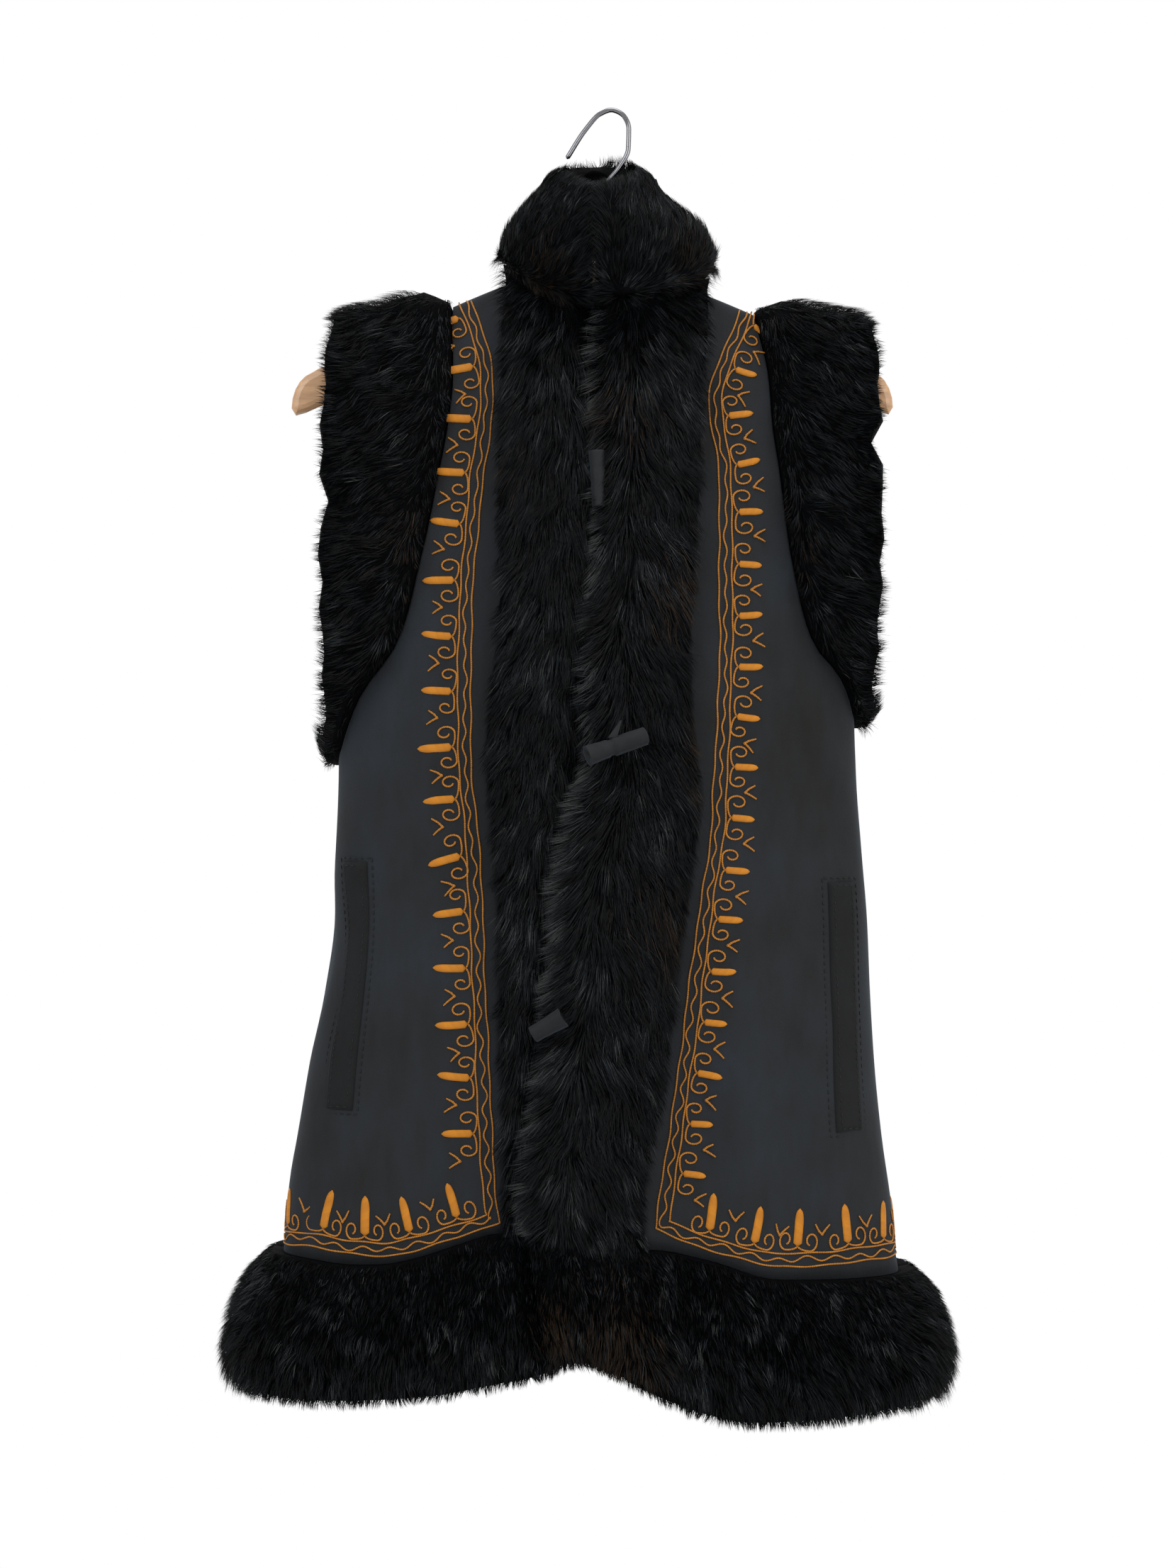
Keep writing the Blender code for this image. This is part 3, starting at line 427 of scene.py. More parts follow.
def rows_down(top: Array, underarm: Array | float, low: Array, times: int) -> Array:
    """Return heights down the rows of a grid.

    Args:
        top: each column's height at its start.
        underarm: the height of the underarm in each column.
        low: each column's height at its end.
        times: how many rows to make of each one in the tables.

    Returns:
        The heights, a row at a time, with more rows near the shoulder.
    """
    above = blend(top[None, :], underarm, finer(ROWS_ABOVE, times)[:, None])
    below = blend(underarm + 0 * low[None, :], low[None, :], finer(ROWS_BELOW, times)[1:, None])
    return np.concatenate([above, below])


def band_x(side: str, height: Array, share: Array) -> Array:
    """Return places across a front fur band.

    Args:
        side: left or right.
        height: the height of each place.
        share: 0 at the free edge that shows and 1 at the seam. Below 0 it is the left band's hidden part.

    Returns:
        The places' x.
    """
    edge = read(FRONT_EDGE, "edge", height)
    seam = read(FUR_SEAM, side, height)
    if side == "right":
        return blend(edge, seam, share)
    cover = edge - COVERED
    return np.where(share < 0, blend(cover, hidden_edge(height), -share), blend(cover, seam, share))


BAND_SHARES = {
    "left": np.concatenate([np.linspace(-1, 0, HIDDEN_COLUMNS + 1)[:-1], np.linspace(0, 1, 15)]),
    "right": np.linspace(0, 1, 19),
}


def from_free_edge(side: str, angle: Array, height: Array) -> Array:
    """Return how far a front's places are from where the right front's free edge lies, toward the side."""
    x, edge = x_at(angle, height), read(FRONT_EDGE, "edge", height)
    return edge - COVERED - x if side == "left" else x - edge


def neck_front(x: Array) -> Array:
    """Return the height of the neck's seam on the front, level with the shoulder line at the fur's seams."""
    side = np.where(x < MIDDLE_X, read(FUR_SEAM, "left", -116.0), read(FUR_SEAM, "right", -120.0))
    share = np.clip((x - MIDDLE_X) / (side - MIDDLE_X), 0, 1) ** 2
    return blend(NECK_FRONT_Z, shoulder(side), share)


def band_grid(side: str, times: int) -> tuple[Array, Array]:
    """Return the angles and heights of a front fur band's grid, rows down and columns toward the side.

    Args:
        side: left or right.
        times: how many rows to make of each one in the tables.

    Returns:
        The angles and the heights.
    """
    shares = BAND_SHARES[side]
    start = band_x(side, np.array(-140.0), shares)
    top = neck_front(start)
    top[-1] = shoulder(start[-1])
    low = read(HEM, "front", band_x(side, np.array(-785.0), shares))
    height = rows_down(top, UNDERARM[side], low, times)
    x = band_x(side, height, shares[None, :] + 0 * height)
    return angle_at(x, height), height


def armhole_angle(side: str, height: Array) -> Array:
    """Return the front's outer edge as an angle: the armhole down to the underarm, and below it the side."""
    angle = np.arcsin(np.clip(np.abs(read(ARMHOLE[side], "x", height)) / read(BODY, side, height), 0, 1))
    share = np.sqrt(np.clip((height - UNDERARM[side]) / 12.0, 0, 1))
    above = blend(math.pi / 2, angle, share)
    return SIGN[side] * np.where(height <= UNDERARM[side], math.pi / 2, above)


def panel_grid(side: str, times: int, across: int) -> tuple[Array, Array]:
    """Return the angles and heights of a suede front's grid.

    Args:
        side: left or right.
        times: how many rows to make of each one in the tables.
        across: the number of columns.

    Returns:
        Angles and heights, rows down and columns from the fur to the side seam.
    """
    sign = SIGN[side]
    shares = np.linspace(0, 1, across)
    band_angle, band_height = band_grid(side, 1)
    x_in = read(FUR_SEAM, side, band_height[0, -1]) + sign * PILE_GAP
    top = shoulder(blend(x_in, ARMHOLE[side]["x"][-1], shares))
    turned = np.sin(blend(abs(band_angle[-1, -1]), math.pi / 2, shares))
    low = read(HEM, "front", read(BODY, side, -800.0) * sign * turned)
    low[0] = band_height[-1, -1]
    height = rows_down(top, UNDERARM[side], low, times)
    inner = angle_at(read(FUR_SEAM, side, height[:, :1]) + sign * PILE_GAP, height[:, :1])
    outer = armhole_angle(side, height[:, -1:])
    seam = math.pi / 2 - SIDE_SEAM_ANGLE
    outer = np.clip(outer, -seam, seam)
    return blend(inner, outer, shares[None, :]), height


def back_grid(times: int, neck_columns: int, side_columns: int) -> tuple[Array, Array]:
    """Return the angles and heights of the back's grid.

    Args:
        times: how many rows to make of each one in the tables.
        neck_columns: columns along the neck.
        side_columns: columns on each shoulder.

    Returns:
        Angles and heights, rows down and columns from the right to the left.
    """
    neck_right = read(FUR_SEAM, "right", -120.0)
    neck_left = read(FUR_SEAM, "left", -116.0)
    turns = np.linspace(math.pi / 2, -math.pi / 2, neck_columns)
    reach = np.where(turns > 0, neck_right - MIDDLE_X, MIDDLE_X - neck_left)
    neck_x = MIDDLE_X + reach * np.sin(turns)
    right_x = np.linspace(ARMHOLE["right"]["x"][-1], neck_right, side_columns)[:-1]
    left_x = np.linspace(neck_left, ARMHOLE["left"]["x"][-1], side_columns)[1:]
    neck = shoulder(neck_x) - NECK_BACK_DROP * np.cos(turns) ** 2
    x = np.concatenate([right_x, neck_x, left_x])
    top = np.concatenate([shoulder(right_x), neck, shoulder(left_x)])
    around_top = math.pi - angle_at(x, top)
    share = (around_top - around_top[0]) / (around_top[-1] - around_top[0])
    underarm = blend(UNDERARM["right"], UNDERARM["left"], share)
    hem_angle = blend(math.pi / 2, 1.5 * math.pi, share)
    low = read(HEM, "back", x_at(hem_angle, -800.0))
    height = rows_down(top, underarm, low, times)
    seam = math.pi / 2 - SIDE_SEAM_ANGLE
    right = math.pi - np.minimum(armhole_angle("right", height[:, :1]), seam)
    left = math.pi - np.maximum(armhole_angle("left", height[:, -1:]), -seam)
    return blend(right, left, share[None, :]), height


def toggle_press(points: Array) -> Array:
    """Return how far the toggles press the fur in, from 0 to 1, as a bell round each one's line.

    Args:
        points: places on the cloth.

    Returns:
        The share pressed in at each place.
    """
    pressed = np.zeros(points.shape[:-1])
    for row in range(len(TOGGLES["number"])):
        toggle = row_of(TOGGLES, row)
        start = np.array([toggle["x_thick"], toggle["thick_height"]])
        end = np.array([toggle["x_thin"], toggle["thin_height"]])
        place = points[..., [0, 2]]
        along = np.clip(((place - start) @ (end - start)) / np.sum((end - start) ** 2), 0, 1)
        away = np.linalg.norm(place - blend(start, end, along[..., None]), axis=-1)
        pressed = np.maximum(pressed, bell(away, 0.0, 15.0))
    return pressed


def band_pile(side: str, angle: Array, height: Array) -> Array:
    """Return a front band's pile: pressed where the right front covers it, and low at its edges."""
    from_edge = from_free_edge(side, angle, height) / (20.0 if side == "left" else 15.0)
    from_seam = np.abs(read(FUR_SEAM, side, height) - x_at(angle, height)) / 13.0
    points = cloth(angle, height)
    full = BAND_PILE * read(BAND_BOTTOM, "share", height) + 2.0 * lumps(points) - 7.0 * toggle_press(points)
    rise = ease(from_edge) ** 0.6 * (0.45 + 0.55 * ease(from_seam))
    return PRESSED_PILE + (full - PRESSED_PILE) * rise


# Meshes


def put_mesh(
    name: str, points: Array, faces: Array | list[Array], material: Material, replaces: Names = (),
    marks: dict[str, Array] | None = None, uv: Array | None = None,
) -> bpy.types.Object:
    """Make a piece of the vest from arrays.

    Args:
        name: the piece's name.
        points: its points in millimetres.
        faces: one array of faces, or several whose faces have different numbers of corners.
        material: its finish.
        replaces: the solids that it stands for.
        marks: a number for each point under an attribute's name.
        uv: a place on the piece's own map for each face corner.

    Returns:
        The piece, riding on the one body.
    """
    groups = faces if isinstance(faces, list) else [faces]
    mesh = bpy.data.meshes.new(name)
    corners = np.concatenate([group.reshape(-1) for group in groups]).astype(np.int32)
    counts = np.concatenate([np.full(len(group), group.shape[1]) for group in groups])
    starts = np.concatenate([[0], np.cumsum(counts)[:-1]]).astype(np.int32)
    mesh.vertices.add(len(points))
    mesh.vertices.foreach_set("co", (points * MM).astype(np.float32).reshape(-1))
    mesh.loops.add(len(corners))
    mesh.loops.foreach_set("vertex_index", corners)
    mesh.polygons.add(len(counts))
    mesh.polygons.foreach_set("loop_start", starts)
    mesh.update(calc_edges=True)
    for label, values in (marks or {}).items():
        mark = mesh.attributes.new(label, "FLOAT", "POINT")
        mark.data.foreach_set("value", values.astype(np.float32).reshape(-1))
    if uv is not None:
        own = mesh.uv_layers.new(name="OFBake")
        own.data.foreach_set("uv", uv.astype(np.float32).reshape(-1))
    mesh.shade_smooth()
    mesh.materials.append(material)
    piece = bpy.data.objects.new(name, mesh)
    bpy.context.scene.collection.objects.link(piece)
    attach(piece, "root")
    if replaces:
        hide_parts(*replaces)
    return piece


def shell_faces(rows: int, across: int, ring: bool = False) -> Array:
    """Return the quads of a closed shell between two grids of points, the inner one first.

    Args:
        rows: the grids' rows.
        across: their columns.
        ring: whether the last column is followed by the first.

    Returns:
        The quads: the inner face, the outer face and the rims between their edges.
    """
    index = np.arange(rows * across).reshape(rows, across)
    if ring:
        index = np.concatenate([index, index[:, :1]], axis=1)
    far = index + rows * across
    quads = [
        np.stack([index[:-1, :-1], index[:-1, 1:], index[1:, 1:], index[1:, :-1]], axis=-1),
        np.stack([far[:-1, :-1], far[1:, :-1], far[1:, 1:], far[:-1, 1:]], axis=-1),
        np.stack([index[0, :-1], far[0, :-1], far[0, 1:], index[0, 1:]], axis=-1),
        np.stack([index[-1, :-1], index[-1, 1:], far[-1, 1:], far[-1, :-1]], axis=-1),
    ]
    if not ring:
        quads.append(np.stack([index[:-1, 0], index[1:, 0], far[1:, 0], far[:-1, 0]], axis=-1))
        quads.append(np.stack([index[:-1, -1], far[:-1, -1], far[1:, -1], index[1:, -1]], axis=-1))
    return np.concatenate([quad.reshape(-1, 4) for quad in quads])


def outward_faces(points: Array, faces: Array) -> Array:
    """Return the faces of a closed shell turned so that all of them point out of it.

    Args:
        points: the shell's points.
        faces: its quads, all turned the same way.

    Returns:
        The same quads, reversed if the volume that they enclose comes out negative.
    """
    first, second, third, fourth = (points[faces[:, corner]] for corner in range(4))
    volume = np.sum(first * np.cross(second, third)) + np.sum(first * np.cross(third, fourth))
    return faces if volume > 0 else faces[:, ::-1]


def put_shell(
    name: str, inner: Array, outer: Array, material: Material, replaces: Names, ring: bool = False
) -> bpy.types.Object:
    """Make a closed shell between two grids of points.

    Args:
        name: the piece's name.
        inner: the grid of its inner face.
        outer: the grid of its outer face.
        material: its finish.
        replaces: the solids that it stands for.
        ring: whether the grids' last column is followed by the first.

    Returns:
        The piece.
    """
    both = np.concatenate([inner.reshape(-1, 3), outer.reshape(-1, 3)])
    faces = outward_faces(both, shell_faces(*inner.shape[:2], ring))
    return put_mesh(name, both, faces, material, replaces)


def ring_quads(rows: int, sides: int) -> tuple[Array, Array]:
    """Return the points' numbers in rows of rings, and the quads between the rings."""
    index = np.arange(rows * sides).reshape(rows, sides)
    after = np.roll(index, -1, axis=1)
    return index, np.stack([index[:-1], after[:-1], after[1:], index[1:]], axis=-1).reshape(-1, 4)


def tube(path: Array, radius: Array, sides: int, up: Array, flat: float = 1.0) -> tuple[Array, Array, Array]:
    """Carry a round or flattened section along a path.

    Args:
        path: points along it.
        radius: the section's radius at each point.
        sides: points round the section.
        up: the way that counts as up at each point.
        flat: the section's height as a share of its width.

    Returns:
        Points, quads and end caps. A ring's points are at the path plus sine and cosine of the turn times
        the two ways square to the path.
    """
    ahead = unit(np.gradient(path, axis=0))
    aside = unit(np.cross(ahead, up))
    above = np.cross(aside, ahead)
    turn = np.linspace(0, 2 * math.pi, sides, endpoint=False)
    ring = np.cos(turn)[None, :, None] * aside[:, None] + flat * np.sin(turn)[None, :, None] * above[:, None]
    points = path[:, None] + radius[:, None, None] * ring
    index, quads = ring_quads(len(path), sides)
    caps = np.stack([index[0][::-1], index[-1]])
    return points.reshape(-1, 3), quads, caps


# Finishes


def add_node(tree: Tree, kind: str, sockets: dict | None = None, **settings: object) -> bpy.types.Node:
    """Add a shader node.

    Args:
        tree: the tree that gets it.
        kind: its type.
        sockets: numbers or other nodes' outputs for its inputs, by name or place.
        settings: its own options.

    Returns:
        The node.
    """
    made = tree.nodes.new(kind)
    for name, value in settings.items():
        setattr(made, name, value)
    for name, value in (sockets or {}).items():
        socket = made.inputs[name]
        if isinstance(value, Socket):
            tree.links.new(value, socket)
        else:
            socket.default_value = value
    return made


def mix_colour(tree: Tree, share: object, first: object, second: object) -> Socket:
    """Mix two colours by a share and return the socket that gives the result.

    Args:
        tree: the tree that does it.
        share: how much of the second, a number or a socket.
        first: a colour or a socket.
        second: a colour or a socket.

    Returns:
        The mixed colour's socket.
    """
    made = add_node(tree, "ShaderNodeMix", {}, data_type="RGBA")
    for place, value in ((0, share), (6, first), (7, second)):
        if isinstance(value, Socket):
            tree.links.new(value, made.inputs[place])
        elif place == 0:
            made.inputs[place].default_value = value
        else:
            made.inputs[place].default_value = (*value, 1.0)
    return made.outputs[2]


def work(tree: Tree, operation: str, *values: object) -> Socket:
    """Do one sum on numbers or sockets and return the socket that gives the result."""
    made = add_node(tree, "ShaderNodeMath", dict(enumerate(values)), operation=operation)
    return made.outputs[0]


def spread(tree: Tree, value: object, low: float, high: float) -> Socket:
    """Stretch a value so that low becomes 0 and high becomes 1, and stop it there."""
    sockets = {"Value": value, "From Min": low, "From Max": high}
    return add_node(tree, "ShaderNodeMapRange", sockets, clamp=True).outputs[0]


def noise(tree: Tree, place: object, scale: object, detail: float = 3.0) -> Socket:
    """Return the value of a cloud-like noise at a place."""
    sockets = {"Vector": place, "Scale": scale, "Detail": detail, "Roughness": 0.6}
    return add_node(tree, "ShaderNodeTexNoise", sockets).outputs[0]


def start_group(name: str, inputs: dict[str, float | None], outputs: tuple[str, ...]) -> Tree:
    """Start a shader node group with named sockets.

    Args:
        name: the group's name.
        inputs: each input's first value, or None for a place in space.
        outputs: the outputs, all of them numbers.

    Returns:
        The group, with its input and output nodes named "in" and "out".
    """
    group = bpy.data.node_groups.new(name, "ShaderNodeTree")
    for label, value in inputs.items():
        kind = "NodeSocketVector" if value is None else "NodeSocketFloat"
        socket = group.interface.new_socket(label, in_out="INPUT", socket_type=kind)
        if value is not None:
            socket.default_value = value
    for label in outputs:
        group.interface.new_socket(label, in_out="OUTPUT", socket_type="NodeSocketFloat")
    group.nodes.new("NodeGroupInput").name = "in"
    group.nodes.new("NodeGroupOutput").name = "out"
    return group


def nap_group() -> Tree:
    """Make the brushed nap that suede, welts and toggles share.

    Returns:
        A group that gives a shade from broad patches, brush marks and fine grain, and a height from the
        last two.
    """
    group = start_group("brushed_nap", {"Place": None, "Patches": 14.0, "Grain": 900.0}, ("Shade", "Height"))
    given, out = group.nodes["in"].outputs, group.nodes["out"].inputs
    patches = noise(group, given["Place"], given["Patches"], 2.0)
    brushed = stretched(group, given["Place"], (1.0, 1.0, 0.35))
    marks = noise(group, brushed, work(group, "MULTIPLY", given["Patches"], 9.0), 4.0)
    grain = noise(group, given["Place"], given["Grain"], 2.0)
    broad = work(group, "MULTIPLY", spread(group, patches, 0.3, 0.7), 0.5)
    middle = work(group, "MULTIPLY", spread(group, marks, 0.3, 0.7), 0.28)
    fine = work(group, "MULTIPLY", spread(group, grain, 0.25, 0.75), 0.22)
    group.links.new(work(group, "ADD", work(group, "ADD", broad, middle), fine), out["Shade"])
    group.links.new(work(group, "ADD", work(group, "MULTIPLY", marks, 0.5), grain), out["Height"])
    return group


def twist_group() -> Tree:
    """Make the twist that every thread shares.

    Returns:
        A group that gives the plies' height from how far along and how far round the thread a point is,
        and a slow drift of its dye.
    """
    group = start_group("thread_twist", {"Along": 0.0, "Around": 0.0, "Pitch": 1.3}, ("Ply", "Drift"))
    given, out = group.nodes["in"].outputs, group.nodes["out"].inputs
    turns = work(group, "DIVIDE", given["Along"], given["Pitch"])
    phase = work(group, "MULTIPLY", work(group, "ADD", turns, given["Around"]), 2 * math.pi)
    ply = work(group, "MULTIPLY_ADD", work(group, "SINE", phase), 0.5, 0.5)
    group.links.new(ply, out["Ply"])
    place = add_node(group, "ShaderNodeCombineXYZ", {"X": given["Along"], "Y": given["Around"]})
    group.links.new(noise(group, place.outputs[0], 0.12, 3.0), out["Drift"])
    return group


def start_material(name: str, sockets: dict[str, object]) -> tuple[Tree, bpy.types.Node, Material]:
    """Make a material.

    Args:
        name: its name.
        sockets: the values of its shader's own sockets, by their names.

    Returns:
        Its tree, its shader and itself.
    """
    made = bpy.data.materials.new(name)
    made.use_nodes = True
    shader = made.node_tree.nodes["Principled BSDF"]
    for label, value in sockets.items():
        shader.inputs[label].default_value = value
    return made.node_tree, shader, made


def place_on(tree: Tree) -> Socket:
    """Return the place on the object itself."""
    return add_node(tree, "ShaderNodeTexCoord").outputs["Object"]


def stretched(tree: Tree, place: Socket, scale: Colour) -> Socket:
    """Return a place scaled along its three axes, which draws a pattern out along the smallest."""
    return add_node(tree, "ShaderNodeMapping", {"Vector": place, "Scale": scale}).outputs[0]


def add_bump(tree: Tree, shader: bpy.types.Node, height: Socket, strength: float, depth: float) -> None:
    """Raise a shader's surface by a height, depth metres at most."""
    bump = add_node(tree, "ShaderNodeBump", {"Height": height, "Strength": strength, "Distance": depth})
    tree.links.new(bump.outputs[0], shader.inputs["Normal"])


@dataclass(frozen=True)
class NapFinish:
    """A matt brushed leather."""

    name: str
    dark: Colour
    light: Colour
    patches: float
    grain: float
    sheen: float
    roughness: float = 0.88
    relief: float = 0.00035

    def make(self, nap: Tree) -> Material:
        """Make the material.

        Args:
            nap: the shared nap group.

        Returns:
            A material whose colour goes from dark to light with the nap's shade.
        """
        sockets = {
            "Roughness": self.roughness,
            "Specular IOR Level": 0.25,
            "Sheen Weight": self.sheen,
            "Sheen Roughness": 0.45,
            "Sheen Tint": (0.62, 0.78, 1.0, 1.0),
        }
        tree, shader, made = start_material(self.name, sockets)
        given = {"Place": place_on(tree), "Patches": self.patches, "Grain": self.grain}
        group = add_node(tree, "ShaderNodeGroup", given, node_tree=nap)
        colour = mix_colour(tree, spread(tree, group.outputs["Shade"], 0.18, 0.86), self.dark, self.light)
        tree.links.new(colour, shader.inputs["Base Color"])
        add_bump(tree, shader, group.outputs["Height"], 0.7, self.relief)
        return made


@dataclass(frozen=True)
class HairFinish:
    """Fur hair, told by its own map: the tint across and the way from root to tip up."""

    name: str
    # root: the darkest hairs' own colour, and also the painted shade that darkens every hair toward its root
    root: Colour = (0.0001, 0.0003, 0.0005)
    dark: Colour = (0.0004, 0.0009, 0.0015)
    grey: Colour = (0.0095, 0.0135, 0.0180)
    # pale: painted highlight, the colour of hairs that stand in for light caught along the right band's free
    # edge and for scattered glints
    pale: Colour = (0.0420, 0.0440, 0.0440)
    brown: Colour = (0.0220, 0.0125, 0.0060)

    def make(self) -> Material:
        """Make the material.

        Returns:
            A material in which most hairs are near black and some grey, pale or brown; the pale hairs are
            painted highlights, and painted shade darkens each hair toward its root.
        """
        tree, shader, made = start_material(self.name, {"Roughness": 0.5, "Specular IOR Level": 0.11})
        own = add_node(tree, "ShaderNodeUVMap", {}, uv_map="OFBake").outputs[0]
        apart = add_node(tree, "ShaderNodeSeparateXYZ", {"Vector": own})
        tint, along = apart.outputs["X"], apart.outputs["Y"]
        plain = mix_colour(tree, spread(tree, tint, 0.0, 0.62), self.root, self.dark)
        greyed = mix_colour(tree, spread(tree, tint, 0.62, 0.80), plain, self.grey)
        # Painted highlight: tints from 0.80 to 0.84 turn pale
        with_painted_highlight_hairs = mix_colour(tree, spread(tree, tint, 0.80, 0.84), greyed, self.pale)
        browned = mix_colour(tree, spread(tree, tint, 0.86, 0.90), with_painted_highlight_hairs, self.brown)
        # Painted shade: each hair's colour darkens toward its root, for the shade deep in the fur
        hair_colour_with_root_shade = mix_colour(tree, spread(tree, along, 0.0, 0.75), self.root, browned)
        tree.links.new(hair_colour_with_root_shade, shader.inputs["Base Color"])
        return made


@dataclass(frozen=True)
class HideFinish:
    """The dense underfur below the long hair."""

    name: str
    dark: Colour = (0.0002, 0.0003, 0.0005)
    light: Colour = (0.0010, 0.0014, 0.0020)

    def make(self) -> Material:
        """Make a material of fine streaks that run up and down the fur."""
        tree, shader, made = start_material(self.name, {"Roughness": 0.8, "Specular IOR Level": 0.04})
        place = place_on(tree)
        streaks = noise(tree, stretched(tree, place, (1.0, 1.0, 0.22)), 650.0, 3.0)
        clumps = noise(tree, place, 90.0, 2.0)
        both = work(tree, "MULTIPLY", spread(tree, streaks, 0.35, 0.7), spread(tree, clumps, 0.3, 0.7))
        tree.links.new(mix_colour(tree, both, self.dark, self.light), shader.inputs["Base Color"])
        add_bump(tree, shader, work(tree, "ADD", streaks, clumps), 1.0, 0.002)
        return made


@dataclass(frozen=True)
class ThreadFinish:
    """Dyed thread with a visible twist."""

    name: str
    dark: Colour
    light: Colour
    pitch: float
    roughness: float = 0.55

    def make(self, twist: Tree) -> Material:
        """Make the material.

        Args:
            twist: the shared twist group.

        Returns:
            A material with painted shade in the grooves between the plies, lighter crests, and a slow drift of
            the dye.
        """
        sockets = {"Roughness": self.roughness, "Specular IOR Level": 0.2, "Sheen Weight": 0.02}
        tree, shader, made = start_material(self.name, sockets)
        along = add_node(tree, "ShaderNodeAttribute", {}, attribute_name="along").outputs["Fac"]
        around = add_node(tree, "ShaderNodeAttribute", {}, attribute_name="around").outputs["Fac"]
        given = {"Along": along, "Around": around, "Pitch": self.pitch}
        group = add_node(tree, "ShaderNodeGroup", given, node_tree=twist)
        # Painted shade: the ply's height darkens the grooves and lightens the crests, mixed with the dye's
        # drift
        ply = work(tree, "MULTIPLY", group.outputs["Ply"], 0.6)
        dye = work(tree, "MULTIPLY", spread(tree, group.outputs["Drift"], 0.3, 0.7), 0.4)
        share = work(tree, "ADD", ply, dye)
        tree.links.new(mix_colour(tree, share, self.dark, self.light), shader.inputs["Base Color"])
        add_bump(tree, shader, group.outputs["Ply"], 0.6, 0.0002)
        return made


@dataclass(frozen=True)
class WoodFinish:
    """Lacquered pale wood with its grain along the bar."""

    name: str
    dark: Colour = (0.26, 0.135, 0.060)
    light: Colour = (0.46, 0.265, 0.130)

    def make(self) -> Material:
        """Make a material of drawn-out grain under a satin coat."""
        sockets = {"Roughness": 0.42, "Coat Weight": 0.3, "Coat Roughness": 0.3}
        tree, shader, made = start_material(self.name, sockets)
        drawn = stretched(tree, place_on(tree), (0.12, 1.0, 1.0))
        grain = noise(tree, drawn, 260.0, 5.0)
        pores = noise(tree, drawn, 1500.0, 2.0)
        streaks = spread(tree, grain, 0.32, 0.68)
        share = work(tree, "MULTIPLY_ADD", streaks, 0.75, work(tree, "MULTIPLY", pores, 0.25))
        tree.links.new(mix_colour(tree, share, self.dark, self.light), shader.inputs["Base Color"])
        add_bump(tree, shader, pores, 0.15, 0.0002)
        return made


@dataclass(frozen=True)
class WireFinish:
    """Plated steel wire with fine drawing marks."""

    name: str
    colour: Colour = (0.17, 0.17, 0.18)
    dull: Colour = (0.05, 0.05, 0.055)

    def make(self) -> Material:
        """Make a metal whose gloss and tone vary a little."""
        tree, shader, made = start_material(self.name, {"Roughness": 0.16, "Metallic": 1.0})
        marks = noise(tree, place_on(tree), 700.0, 4.0)
        tone = mix_colour(tree, spread(tree, marks, 0.55, 0.8), self.colour, self.dull)
        tree.links.new(tone, shader.inputs["Base Color"])
        tree.links.new(work(tree, "MULTIPLY_ADD", marks, 0.2, 0.06), shader.inputs["Roughness"])
        return made


class Dye(Enum):
    """The suedes' and the threads' colours, dark and light."""

    SUEDE = ((0.0046, 0.0043, 0.0039), (0.0092, 0.0118, 0.0156))
    WELT = ((0.0012, 0.0013, 0.0015), (0.0032, 0.0036, 0.0042))
    ROLL = ((0.0013, 0.0016, 0.0020), (0.0048, 0.0058, 0.0072))
    # For the threads, dark and light also serve as the painted shade of the ply grooves and the lighter crests
    LINE = ((0.13, 0.042, 0.004), (0.42, 0.165, 0.016))
    LEAF = ((0.20, 0.064, 0.003), (0.50, 0.185, 0.008))
    DARK = ((0.0015, 0.0016, 0.0018), (0.0060, 0.0064, 0.0072))


# The fur


def sample(grid: Array, row: Array, column: Array) -> Array:
    """Read a grid of vectors or numbers between its points, by the four nearest ones.

    Args:
        grid: the grid.
        row: rows, with their fractions.
        column: columns, with their fractions.

    Returns:
        The values there.
    """
    top = np.clip(row.astype(int), 0, grid.shape[0] - 2)
    first = np.clip(column.astype(int), 0, grid.shape[1] - 2)
    down, across = row - top, column - first
    if grid.ndim == 3:
        down, across = down[:, None], across[:, None]
    upper = blend(grid[top, first], grid[top, first + 1], across)
    lower = blend(grid[top + 1, first], grid[top + 1, first + 1], across)
    return blend(upper, lower, down)


def drift(points: Array, length: float, seed: int) -> Array:
    """Return slow swirls in three directions, as sines of the place with waves of about the given length."""
    rng = np.random.default_rng(seed)
    waves = rng.normal(size=(6, 3)) * 2 * math.pi / length
    starts = rng.uniform(0, 2 * math.pi, (3, 6))
    phase = points @ waves.T
    return np.stack([np.sin(phase + start).sum(-1) for start in starts], axis=-1) / 3.0


